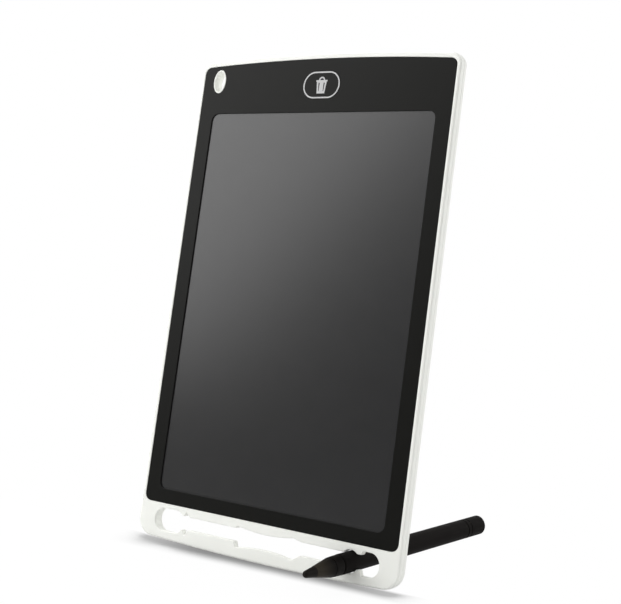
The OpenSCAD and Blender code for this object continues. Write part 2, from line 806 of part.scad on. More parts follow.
// Nib, cone, groove, swelling collar, and the spigot that goes into the barrel
function collar_r(t) = nose_d / 2 + (pen_r - collar_step - nose_d / 2) * (1 - pow(1 - t, 2));
module pen_nose() {
    collar_z = nose_l + collar_l;
    groove_r = nose_d / 2 - groove_d;
    collar = [for (i = [1:collar_steps]) let (t = i / collar_steps) [collar_r(t), nose_l + t * collar_l]];
    color(black) pen_pose() rotate_extrude() polygon(concat(
        arc(0, tip_r, tip_r, -90, -7, 8),
        [[nib_d / 2, nib_l], [nose_d / 2, nose_l], [groove_r, nose_l], [groove_r, nose_l + groove_w],
            [collar_r(groove_w / collar_l), nose_l + groove_w]],
        collar,
        [[spigot_r, collar_z], [spigot_r, collar_z + spigot_l], [0, collar_z + spigot_l]]));
}

module pen_barrel() {
    z0 = nose_l + collar_l + groove_w;
    z1 = pen_l - tail_l - groove_w;
    color(black) pen_pose() rotate_extrude() polygon([[pen_r - barrel_wall, z0], [pen_r, z0],
        [pen_r, z1], [pen_r - barrel_wall, z1]]);
}

module pen_cap() {
    z0 = pen_l - tail_l;
    ring_z = z0 + tail_ring;
    color(black) pen_pose() rotate_extrude() polygon(concat(
        [[0, z0 - spigot_l], [spigot_r, z0 - spigot_l], [spigot_r, z0], [pen_r, z0], [pen_r, ring_z],
            [pen_r - groove_d, ring_z], [pen_r - groove_d, ring_z + groove_w], [pen_r, ring_z + groove_w]],
        arc(pen_r - tail_edge_r, pen_l - tail_edge_r, tail_edge_r, 0, 90, 6),
        [[0, pen_l]]));
}

front_frame();
rear_cover();
front_panel();
panel_tape();
lcd_film();
backing_sheet();
film_tail();
erase_key();
key_print();
key_pad();
tact_switch();
switch_plunger();
circuit_board();
controller_chip();
board_parts();
board_screws();
coin_cell();
cell_contact_top();
cell_contact_side();
battery_door();
door_screw();
pen_nose();
pen_barrel();
pen_cap();
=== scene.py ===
"""Looks of an LCD writing tablet that leans back on its own stylus.

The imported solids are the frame. The case halves, the front panel, the erase key, the battery door and the
stylus are drawn here as smooth surfaces that stand for their solids, and every other solid keeps its shape
and takes a finish. Sizes are in millimetres, in the tablet's or the stylus's own axes, and one place function
for each turns them to metres in the frame.
"""

import json
import logging
import math
from dataclasses import dataclass, field
from enum import Enum
from typing import Callable, Dict, List, Sequence, Tuple, Union

import bmesh
import bpy
import numpy as np
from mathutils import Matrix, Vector
from mathutils.geometry import tessellate_polygon


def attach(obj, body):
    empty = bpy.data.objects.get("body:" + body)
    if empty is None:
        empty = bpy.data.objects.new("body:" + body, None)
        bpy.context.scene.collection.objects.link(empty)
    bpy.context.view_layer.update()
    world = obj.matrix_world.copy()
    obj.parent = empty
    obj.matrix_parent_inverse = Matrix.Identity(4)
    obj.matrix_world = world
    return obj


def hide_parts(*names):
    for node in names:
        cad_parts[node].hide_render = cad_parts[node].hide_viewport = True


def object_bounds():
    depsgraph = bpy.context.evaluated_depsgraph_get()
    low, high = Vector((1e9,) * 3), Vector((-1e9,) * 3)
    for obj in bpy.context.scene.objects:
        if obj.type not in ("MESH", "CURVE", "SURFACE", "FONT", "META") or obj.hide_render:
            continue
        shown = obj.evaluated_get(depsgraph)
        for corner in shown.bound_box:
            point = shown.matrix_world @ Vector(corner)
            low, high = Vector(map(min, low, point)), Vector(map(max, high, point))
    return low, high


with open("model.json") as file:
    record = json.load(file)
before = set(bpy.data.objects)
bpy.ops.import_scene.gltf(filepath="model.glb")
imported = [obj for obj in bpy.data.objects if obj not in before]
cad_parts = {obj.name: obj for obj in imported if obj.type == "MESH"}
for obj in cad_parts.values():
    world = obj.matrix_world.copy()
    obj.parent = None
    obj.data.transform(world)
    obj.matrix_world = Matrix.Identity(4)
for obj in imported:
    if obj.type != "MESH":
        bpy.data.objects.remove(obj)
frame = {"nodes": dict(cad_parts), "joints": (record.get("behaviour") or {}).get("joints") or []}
CAD_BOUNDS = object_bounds()

MM = 0.001
# Points this close become one, and edges this short go.
MERGE_GAP = 0.002 * MM
SLIVER = 0.001 * MM
# Edges that bend by more stay sharp.
SHARP_ANGLE = math.radians(32)
# Rows of points in a quarter round.
ROUND_ROWS = 7
# Radius of an arc that passes for a straight line.
STRAIGHT = 1.0e7
LOG = logging.getLogger("writing_tablet")

Array = np.ndarray
Outline = Callable[[float], Array]
Place = Callable[[Array], Array]
Tree = bpy.types.NodeTree
Socket = bpy.types.NodeSocket
Link = Union[Socket, float, tuple]


# Outlines

def arc(centre: Sequence[float], radius: float, start: float, end: float, steps: int = 14) -> Array:
    """Points on a circle: the centre plus radius times (cos a, sin a).

    Args:
        centre: Middle of the circle.
        radius: Its radius.
        start: First angle a, in degrees.
        end: Last angle a, in degrees.
        steps: Number of steps between the two.

    Returns:
        Points, one row each.
    """
    a = np.radians(np.linspace(start, end, steps + 1))
    return np.column_stack((centre[0] + radius * np.cos(a), centre[1] + radius * np.sin(a)))


def circle(centre: Sequence[float], radius: float, steps: int = 40) -> Array:
    """Anticlockwise circle, a closed loop of as many points as steps."""
    return arc(centre, radius, 0, 360, steps)[:-1]


def oblong(width: float, height: float, steps: int = 28) -> Array:
    """Anticlockwise loop with straight long sides and half-round ends.

    Args:
        width: Length over both ends.
        height: Distance between the straight sides.
        steps: Number of steps in each end.

    Returns:
        Points of the loop, with its middle at nought.
    """
    r = height / 2
    c = width / 2 - r
    return np.vstack((arc((c, 0), r, -90, 90, steps), arc((-c, 0), r, 90, 270, steps)))


def round_rect(width: float, height: float, radius: float, steps: int = 8) -> Array:
    """Anticlockwise rectangle with four round corners.

    Args:
        width: Size across.
        height: Size upwards.
        radius: Radius of each corner.
        steps: Number of steps in each corner.

    Returns:
        Points of the loop, with its middle at nought.
    """
    x, y = width / 2 - radius, height / 2 - radius
    corners = ((-x, -y, 180), (x, -y, 270), (x, y, 0), (-x, y, 90))
    return np.vstack([arc((cx, cy), radius, a, a + 90, steps) for cx, cy, a in corners])


def oval(width: float, height: float, steps: int = 72) -> Array:
    """Anticlockwise ellipse: half the width times cos a, half the height times sin a."""
    a = np.linspace(0, 2 * np.pi, steps, endpoint=False)
    return np.column_stack((width / 2 * np.cos(a), height / 2 * np.sin(a)))


def grown(loop: Array, by: float) -> Array:
    """Moves an anticlockwise loop outwards along the mitred normal of each point.

    Args:
        loop: Points of the closed loop.
        by: Distance, negative to move inwards.

    Returns:
        The moved points, in the same order.
    """
    ahead = np.roll(loop, -1, axis=0) - loop
    ahead /= np.linalg.norm(ahead, axis=1, keepdims=True)
    out = np.column_stack((ahead[:, 1], -ahead[:, 0]))
    back = np.roll(out, 1, axis=0)
    mitre = (out + back) / (1 + np.sum(out * back, axis=1, keepdims=True))
    return loop + by * mitre


def softened(loop: Array, step: float, blur: float) -> Array:
    """Spaces a closed loop evenly and rounds its corners with a Gaussian taken along the loop.

    Args:
        loop: Corner points of the closed loop.
        step: Spacing of the new points.
        blur: Standard deviation of the Gaussian, about the radius of a rounded corner.

    Returns:
        The evenly spaced, rounded points.
    """
    closed = np.vstack((loop, loop[:1]))
    along = np.concatenate(([0.0], np.cumsum(np.hypot(*np.diff(closed, axis=0).T))))
    count = int(round(along[-1] / step))
    at = np.linspace(0, along[-1], count, endpoint=False)
    even = np.column_stack([np.interp(at, along, closed[:, k]) for k in (0, 1)])
    gain = np.exp(-2 * (np.pi * np.fft.fftfreq(count, d=along[-1] / count) * blur) ** 2)
    return np.real(np.fft.ifft(np.fft.fft(even, axis=0) * gain[:, None], axis=0))


def at_height(loop: Array, z: float) -> Array:
    """Points of a loop with a height."""
    return np.column_stack((loop, np.full(len(loop), z)))


@dataclass(frozen=True)
class ArchedOutline:
    """Upright outline with an arched top, an arched or straight foot and round corners, all of them arcs."""

    half_width: float
    bottom: float
    arch_centre: float
    arch_radius: float
    bottom_corner: float
    top_corner: float
    foot_radius: float = STRAIGHT
    bow_steps: int = 48

    def inset(self, by: float) -> Array:
        """Anticlockwise loop moved inwards by a distance, each arc on its own centre.

        Args:
            by: Distance, negative to move outwards.

        Returns:
            Points of the loop, the same number for each distance.
        """
        foot_centre = self.bottom + self.foot_radius
        foot, top = self.foot_radius - by, self.arch_radius - by
        low, high = self.bottom_corner - by, self.top_corner - by
        low_x, high_x = self.half_width - by - low, self.half_width - by - high
        low_y = foot_centre - math.sqrt((foot - low) ** 2 - low_x ** 2)
        high_y = self.arch_centre + math.sqrt((top - high) ** 2 - high_x ** 2)
        dip = math.degrees(math.atan2(foot_centre - low_y, low_x))
        rise = math.degrees(math.atan2(high_y - self.arch_centre, high_x))
        return np.vstack((
            arc((-low_x, low_y), low, 180, 180 + dip),
            arc((0, foot_centre), foot, 180 + dip, 360 - dip, self.bow_steps)[1:-1],
            arc((low_x, low_y), low, 360 - dip, 360),
            arc((high_x, high_y), high, 0, rise),
            arc((0, self.arch_centre), top, rise, 180 - rise, self.bow_steps)[1:-1],
            arc((-high_x, high_y), high, 180 - rise, 180)))

    def top_at(self, x: Array, by: float) -> Array:
        """Height of the arched top at places across, where a circle set in by a distance passes them."""
        return self.arch_centre + np.sqrt((self.arch_radius - by) ** 2 - x ** 2)


# Shells

class Facing(Enum):
    """The way that a flat face looks along its own z."""

    UP = 1
    DOWN = -1


class Side(Enum):
    """What a wall is: the outside of a piece, or the inside of an opening in it."""

    OUTER = 1
    HOLE = -1


@dataclass
class Shell:
    """Walls and flats of one closed piece, collected as arrays of points and faces."""

    points: List[Array] = field(default_factory=list)
    faces: List[List[int]] = field(default_factory=list)
    count: int = 0

    def tube(self, rows: Array, side: Side = Side.OUTER, ring: bool = False) -> None:
        """Adds a grid of rows that is closed along each row.

        Args:
            rows: Points as (row, place along the row, xyz), rows upwards and places anticlockwise.
            side: OUTER looks away from the middle, HOLE towards it.
            ring: True joins the last row to the first as well.
        """
        m, n = rows.shape[:2]
        index = self.count + np.arange(m * n).reshape(m, n)
        low = index if ring else index[:-1]
        high = np.roll(index, -1, axis=0) if ring else index[1:]
        corners = (low, np.roll(low, -1, axis=1), np.roll(high, -1, axis=1), high)
        quads = np.stack(corners, axis=-1).reshape(-1, 4)
        self._add(rows.reshape(-1, 3), quads if side is Side.OUTER else quads[:, ::-1])

    def flat(self, loops: Sequence[Array], z: float, facing: Facing) -> None:
        """Fills the area inside the first loop and outside the others, at one height.

        Args:
            loops: The outer loop, then the holes.
            z: Height of the face.
            facing: The way that it looks.
        """
        xy = np.vstack(loops)
        rings = [[Vector((x, y, 0)) for x, y in loop] for loop in loops]
        corners = np.array(tessellate_polygon(rings))
        a, b, c = xy[corners[:, 0]], xy[corners[:, 1]], xy[corners[:, 2]]
        area = (b[:, 0] - a[:, 0]) * (c[:, 1] - a[:, 1]) - (b[:, 1] - a[:, 1]) * (c[:, 0] - a[:, 0])
        turned = area * facing.value < 0
        corners[turned] = corners[turned, ::-1]
        self._add(at_height(xy, z), corners + self.count)

    def wall(self, outline: Outline, low: float, high: float, low_round: float = 0.0,
             high_round: float = 0.0, side: Side = Side.OUTER, draft: float = 0.0) -> Tuple[Array, Array]:
        """Adds a wall along an outline, with quarter rounds towards the flats at its two ends.

        Args:
            outline: Gives the loop set in by a distance, into the material.
            low: Height of the lower flat.
            high: Height of the upper flat.
            low_round: Radius of the lower round.
            high_round: Radius of the upper round.
            side: OUTER for the outside of the piece, HOLE for an opening in it.
            draft: How far the wall leans into the material from its upper to its lower end.

        Returns:
            The loops on which the lower and the upper flat begin.
        """
        rise = np.radians(np.linspace(0, 90, ROUND_ROWS))
        steps = [(low_round * (1 - math.sin(a)), low + low_round * (1 - math.cos(a))) for a in rise]
        steps += [(high_round * (1 - math.cos(a)), high - high_round * (1 - math.sin(a))) for a in rise]
        kept = [s for k, s in enumerate(steps) if k == 0 or s != steps[k - 1]]
        loops = [outline(inset + draft * (high - z) / (high - low)) for inset, z in kept]
        rows = np.stack([at_height(loop, z) for loop, (_, z) in zip(loops, kept)])
        self.tube(rows, side)
        return loops[0], loops[-1]

    def capped(self, outline: Outline, low: float, high: float, low_round: float = 0.0,
               high_round: float = 0.0, side: Side = Side.OUTER) -> Array:
        """Adds a wall whose upper end is closed: a boss with its top, or a blind hole with its floor.

        Args:
            outline: Gives the loop set in by a distance, into the material.
            low: Height of the open end.
            high: Height of the closed end.
            low_round: Radius of the lower round.
            high_round: Radius of the upper round.
            side: OUTER for a boss, HOLE for a blind hole.

        Returns:
            The loop on which the lower flat begins.
        """
        foot, head = self.wall(outline, low, high, low_round, high_round, side)
        self.flat((head,), high, Facing.UP if side is Side.OUTER else Facing.DOWN)
        return foot

    def _add(self, points: Array, faces: Array) -> None:
        """Keeps points and the faces on them.

        Args:
            points: Points, one row each.
            faces: For each face, the numbers of its points.
        """
        self.points.append(points)
        self.faces += faces.tolist()
        self.count += len(points)


def inwards(loop: Array) -> Outline:
    """Outline whose inset shrinks an outer loop."""
    return lambda by: grown(loop, -by)


def outwards(loop: Array) -> Outline:
    """Outline whose inset widens a hole."""
    return lambda by: grown(loop, by)


def lathe(profile: Array, steps: int = 96) -> Array:
    """Turns a profile of (z, r) about z: each row is r cos a, r sin a, z.

    Args:
        profile: Points along the profile.
        steps: Number of places round the axis.

    Returns:
        Rows of points for Shell.tube.
    """
    a = np.linspace(0, 2 * np.pi, steps, endpoint=False)
    z, r = profile[:, :1], profile[:, 1:]
    return np.stack((r * np.cos(a), r * np.sin(a), np.broadcast_to(z, (len(z), steps))), axis=-1)


def add_object(name: str, data: bpy.types.ID) -> bpy.types.Object:
    """Puts a mesh, a light or a camera into the scene.

    Args:
        name: Name of the object.
        data: The mesh, light or camera.

    Returns:
        The new object.
    """
    made = bpy.data.objects.new(name, data)
    bpy.context.scene.collection.objects.link(made)
    return made


def make_piece(name: str, shell: Shell, place: Place, finish: "Finish", body: str,
               node: str) -> bpy.types.Object:
    """Makes one object that stands for a CAD node.

    Args:
        name: Name of the object.
        shell: Its walls and flats, in millimetres.
        place: Turns the shell's points to metres in the frame.
        finish: Its finish.
        body: CAD body that it rides on.
        node: CAD node that it stands for.

    Returns:
        The finished object.
    """
    mesh = bpy.data.meshes.new(name)
    mesh.from_pydata(place(np.vstack(shell.points)).tolist(), [], shell.faces)
    bm = bmesh.new()
    bm.from_mesh(mesh)
    bmesh.ops.remove_doubles(bm, verts=bm.verts, dist=MERGE_GAP)
    bmesh.ops.dissolve_degenerate(bm, edges=bm.edges, dist=SLIVER)
    bm.to_mesh(mesh)
    bm.free()
    mesh.shade_smooth()
    mesh.set_sharp_from_angle(angle=SHARP_ANGLE)
    mesh.materials.append(finish.material())
    piece = add_object(name, mesh)
    weighted = piece.modifiers.new("flat faces keep their normal", "WEIGHTED_NORMAL")
    weighted.keep_sharp = True
    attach(piece, body)
    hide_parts(node)
    LOG.info("%s stands for %s with %d faces", name, node, len(mesh.polygons))
    return piece


# Frame of the tablet and of the stylus


def mesh_points(mesh: bpy.types.Mesh) -> Array:
    """Reads the points of a mesh.

    Args:
        mesh: Mesh of a CAD node or of a piece.

    Returns:
        Its points in the frame, in metres, one row each.
    """
    flat = np.empty(3 * len(mesh.vertices), np.float32)
    mesh.vertices.foreach_get("co", flat)
    return flat.reshape(-1, 3).astype(float)


def joint_axis(name: str) -> Array:
    """Direction of a joint in the frame."""
    axis = next(j["axis"] for j in frame["joints"] if j["name"] == name)
    return np.array(axis) / np.linalg.norm(axis)


@dataclass(frozen=True)
class Axes:
    """A piece's own axes in the frame: the columns of turn, and the place of its origin in metres."""

    turn: Array
    origin: Array

    def place(self, points: Array) -> Array:
        """Turns millimetres in these axes to metres in the frame."""
        return points * MM @ self.turn.T + self.origin

    def box(self, node: str) -> Tuple[Array, Array]:
        """Lowest and highest corner of a CAD node along these axes, in millimetres."""
        own = (mesh_points(frame["nodes"][node].data) - self.origin) @ self.turn / MM
        return own.min(axis=0), own.max(axis=0)

    def size(self, node: str) -> Array:
        """Size of a CAD node along these axes, in millimetres."""
        low, high = self.box(node)
        return high - low

    def middle(self, node: str) -> Array:
        """Middle of a CAD node along the first two of these axes, in millimetres."""
        low, high = self.box(node)
        return ((low + high) / 2)[:2]


def tablet_axes() -> Axes:
    """Axes of the leaning tablet: x across, y up its face, z from the back to the front.

    Returns:
        Axes whose origin is half way across the bottom edge of the back.
    """
    front = -joint_axis("key_press")
    across = np.array([1.0, 0.0, 0.0])
    turn = np.column_stack((across, np.cross(front, across), front))
    unmoved = Axes(turn, np.zeros(3))
    low = unmoved.box("rear_cover")[0]
    return Axes(turn, turn @ np.array((unmoved.middle("rear_cover")[0], low[1], low[2])) * MM)


def stylus_axes() -> Axes:
    """Axes of the stylus: z from the tip to the tail.

    Returns:
        Axes whose origin is the tip.
    """
    along = -joint_axis("pen_pull")
    across = np.cross((0.0, 0.0, 1.0), along)
    across /= np.linalg.norm(across)
    turn = np.column_stack((across, np.cross(along, across), along))
    unmoved = Axes(turn, np.zeros(3))
    tip = unmoved.box("pen_nose")[0][2]
    return Axes(turn, turn @ np.array((*unmoved.middle("pen_barrel"), tip)) * MM)


# Finishes

def linear(hex_colour: str) -> Tuple[float, float, float, float]:
    """Turns an sRGB hex value to a linear colour."""
    c = np.array([int(hex_colour[k:k + 2], 16) for k in (1, 3, 5)]) / 255
    return (*np.where(c <= 0.04045, c / 12.92, ((c + 0.055) / 1.055) ** 2.4), 1.0)


def per_mm(size: float) -> float:
    """Texture scale, per metre, of a pattern whose grains have a size in millimetres."""
    return 1.0 / (size * MM)


# Inputs of a Mix node, whose names repeat for each type, and its output for colours.
FACTOR, NUMBER_A, NUMBER_B, COLOUR_A, COLOUR_B = 0, 2, 3, 6, 7
MIXED_COLOUR = 2


def fresh_tree(owner: Union[bpy.types.Material, bpy.types.World]) -> Tree:
    """Turns on the nodes of a material or a world, and empties them.

    Args:
        owner: The material or the world.

    Returns:
        Its empty node tree.
    """
    owner.use_nodes = True
    owner.node_tree.nodes.clear()
    return owner.node_tree


def add_node(tree: Tree, kind: str, links: Dict[Union[str, int], Link],
             **settings: object) -> bpy.types.Node:
    """Adds one shader node.

    Args:
        tree: Tree that it goes into.
        kind: Type name of the node.
        links: For each input, the socket that feeds it or its own value.
        settings: The node's other properties.

    Returns:
        The new node.
    """
    node = tree.nodes.new(kind)
    for name, value in settings.items():
        setattr(node, name, value)
    for key, value in links.items():
        if isinstance(value, Socket):
            tree.links.new(value, node.inputs[key])
        else:
            node.inputs[key].default_value = value
    return node


@dataclass(frozen=True)
class Finish:
    """A surface: two tones that drift into each other, a fine grain in relief, and slightly varied gloss.

    The drift and the grain are sizes in millimetres, and a patch of gloss is a number of grains across.
    """

    name: str
    tone: str
    second_tone: str
    roughness: float
    roughness_spread: float = 0.04
    metallic: float = 0.0
    ior: float = 1.5
    drift: float = 40.0
    grain: float = 0.35
    grain_depth: float = 0.012
    gloss_patch: float = 12.0
    coat: float = 0.0
    coat_roughness: float = 0.1

    def material(self) -> bpy.types.Material:
        """The finish as a material, made once and shared."""
        return bpy.data.materials.get(self.name) or self._make()

    def _make(self) -> bpy.types.Material:
        """Builds the node tree, whose tones, grain and gloss all read Object coordinates.

        Returns:
            The new material.
        """
        material = bpy.data.materials.new(self.name)
        tree = fresh_tree(material)
        where = add_node(tree, "ShaderNodeTexCoord", {}).outputs["Object"]
        shader = add_node(tree, "ShaderNodeBsdfPrincipled", {
            "Base Color": self.colour(tree, where),
            "Roughness": self.gloss(tree, where),
            "Normal": self.relief(tree, where),
            "Metallic": self.metallic,
            "Coat Weight": self.coat,
            "Coat Roughness": self.coat_roughness})
        if not self.metallic:
            shader.inputs["IOR"].default_value = self.ior
        add_node(tree, "ShaderNodeOutputMaterial", {"Surface": shader.outputs["BSDF"]})
        return material

    def colour(self, tree: Tree, where: Socket) -> Socket:
        """Adds a slow drift between the two tones.

        Args:
            tree: Tree that the nodes go into.
            where: Object coordinates.

        Returns:
            The colour.
        """
        cloud = add_node(tree, "ShaderNodeTexNoise", {
            "Vector": where, "Scale": per_mm(self.drift), "Detail": 3.0, "Roughness": 0.55})
        mix = add_node(tree, "ShaderNodeMix", {
            FACTOR: cloud.outputs["Fac"], COLOUR_A: linear(self.tone), COLOUR_B: linear(self.second_tone)},
            data_type="RGBA")
        return mix.outputs[MIXED_COLOUR]

    def gloss(self, tree: Tree, where: Socket) -> Socket:
        """Adds roughness that varies round its mean in patches of many grains.

        Args:
            tree: Tree that the nodes go into.
            where: Object coordinates.

        Returns:
            The roughness.
        """
        patch = add_node(tree, "ShaderNodeTexNoise", {
            "Vector": where, "Scale": per_mm(self.gloss_patch * self.grain), "Detail": 2.0})
        ranged = add_node(tree, "ShaderNodeMapRange", {
            "Value": patch.outputs["Fac"],
            "To Min": self.roughness - self.roughness_spread,
            "To Max": self.roughness + self.roughness_spread})
        return ranged.outputs["Result"]

    def relief(self, tree: Tree, where: Socket) -> Socket:
        """Adds a fine pebbled grain as a bump.

        Args:
            tree: Tree that the nodes go into.
            where: Object coordinates.

        Returns:
            The normal.
        """
        grain = add_node(tree, "ShaderNodeTexNoise", {
            "Vector": where, "Scale": per_mm(self.grain), "Detail": 2.0, "Roughness": 0.6})
        bump = add_node(tree, "ShaderNodeBump", {
            "Height": grain.outputs["Fac"], "Distance": self.grain_depth * MM, "Strength": 1.0})
        return bump.outputs["Normal"]


@dataclass(frozen=True)
class HighlightedFinish(Finish):
    """A finish with a painted highlight: a lighter tone laid over it, by as much as the piece's own attribute
    says.
    """

    # Tone of the painted highlight, and the piece's attribute that says how much of it each point gets.
    highlight_tone: str = "#322e27"
    attribute: str = "painted_highlight"

    def colour(self, tree: Tree, where: Socket) -> Socket:
        """Adds the drifting tones, turned to the highlight tone as far as the piece's attribute paints a
        highlight.

        Args:
            tree: Tree that the nodes go into.
            where: Object coordinates.

        Returns:
            The colour.
        """
        # Share of painted highlight at each point.
        painted_highlight = add_node(tree, "ShaderNodeAttribute", {}, attribute_name=self.attribute)
        base_tones = super().colour(tree, where)
        mix = add_node(tree, "ShaderNodeMix", {
            FACTOR: painted_highlight.outputs["Fac"], COLOUR_A: base_tones, COLOUR_B: linear(self.highlight_tone)},
            data_type="RGBA")
        return mix.outputs[MIXED_COLOUR]


# Injection-moulded white ABS with a spark-eroded satin texture: bright, barely mottled, soft highlights.
# The real texture is near 0.1 mm and is drawn coarser so that it shows.
WHITE_ABS = Finish("white_abs_moulded_satin", "#f0f1ec", "#ebece6", 0.42,
                   grain=0.4, grain_depth=0.006, drift=70)
# Screen-printed black on the back of an acrylic panel with an anti-glare hard coat: deep black with a
# faint satin shine.
BLACK_PANEL = Finish("black_acrylic_printed_hard_coat", "#0f0f0c", "#0c0c09", 0.38,
                     ior=1.25, grain=0.3, grain_depth=0.002, drift=55)
# Liquid-crystal film under a polyester skin: slate grey, faintly cloudy, smoother and shinier than the
# panel round it.
CRYSTAL_FILM = Finish("liquid_crystal_film_polyester", "#232323", "#212122", 0.25,
                      roughness_spread=0.02, ior=1.68, grain=0.5, grain_depth=0.002, drift=90)
# Black ABS of the key under the same hard coat as the panel: as deep a black, with a finer mottle.
BLACK_KEY = Finish("black_abs_moulded_key", "#0f0f0d", "#0d0d0b", 0.38,
                   ior=1.25, grain=0.25, grain_depth=0.003, drift=8)
# Pad-printed white ink: flat, slightly grey, with an uneven film.
WHITE_INK = Finish("white_ink_pad_printed", "#c2c2c2", "#bababb", 0.55,
                   grain=0.2, grain_depth=0.004, drift=3)
# Black ABS of the stylus, moulded dull, slightly brown where light catches it.
BLACK_PEN = Finish("black_abs_moulded_stylus", "#1a1817", "#171514", 0.6,
                   ior=1.1, grain=0.3, grain_depth=0.006, drift=14)
# The same ABS on the tapered nose, with a painted highlight: a warmer, lighter band on the cone behind the
# nib for the white floor's reflection.
PEN_NOSE_HIGHLIGHTED = HighlightedFinish("black_abs_nose_painted_highlight", "#171514", "#141211", 0.5,
                         ior=1.15, grain=0.3, grain_depth=0.006, drift=6)
# Acrylic foam tape: matt cream.
FOAM_TAPE = Finish("acrylic_foam_tape_die_cut", "#d3c595", "#c8b98a", 0.7,
                   grain=0.3, grain_depth=0.01, drift=10)
# Black polyester sheet: matt with a faint rolled grain.
BACKING = Finish("black_polyester_sheet_rolled", "#18181a", "#1d1d20", 0.6,
                 grain=0.4, grain_depth=0.004)
# Flexible copper under polyimide: amber and glossy.
POLYIMIDE = Finish("polyimide_copper_flexible", "#b9772f", "#a5641f", 0.3,
                   grain=0.5, grain_depth=0.003, drift=4, coat=0.4)
# Moulded silicone rubber: grey and matt.
SILICONE = Finish("silicone_rubber_moulded", "#77787a", "#6d6e70", 0.65,
                  ior=1.41, grain=0.2, grain_depth=0.006, drift=3)
# Moulded nylon of the switch: a dull black body, and a milky white plunger.
BLACK_NYLON = Finish("black_nylon_moulded", "#202022", "#27272a", 0.5,
                     grain=0.2, grain_depth=0.005, drift=3)
WHITE_NYLON = Finish("white_nylon_moulded", "#e4e3dd", "#dad9d2", 0.45,
                     grain=0.2, grain_depth=0.004, drift=2)
# Glass-epoxy laminate with green solder mask: mottled by the weave below the mask.
SOLDER_MASK = Finish("glass_epoxy_solder_mask", "#1f6b46", "#175538", 0.32,
                     grain=0.6, grain_depth=0.01, drift=1.2, coat=0.5)
# Moulded epoxy of the chip: sooty and matt.
CHIP_EPOXY = Finish("epoxy_moulded_chip", "#1c1c1d", "#242425", 0.62,
                    grain=0.15, grain_depth=0.006, drift=1.5)
# Ceramic and ferrite parts, sintered: a dull, earthy brown grey.
CERAMIC = Finish("ceramic_sintered_parts", "#8a7b63", "#7a6b54", 0.55,
                 grain=0.15, grain_depth=0.006, drift=1)
# Nickel-plated steel, bright with fine rolling marks.
NICKEL_STEEL = Finish("nickel_plated_steel", "#c9ccd0", "#bcbfc4", 0.28,
                      metallic=1.0, grain=0.25, grain_depth=0.004, drift=2)


# Tablet

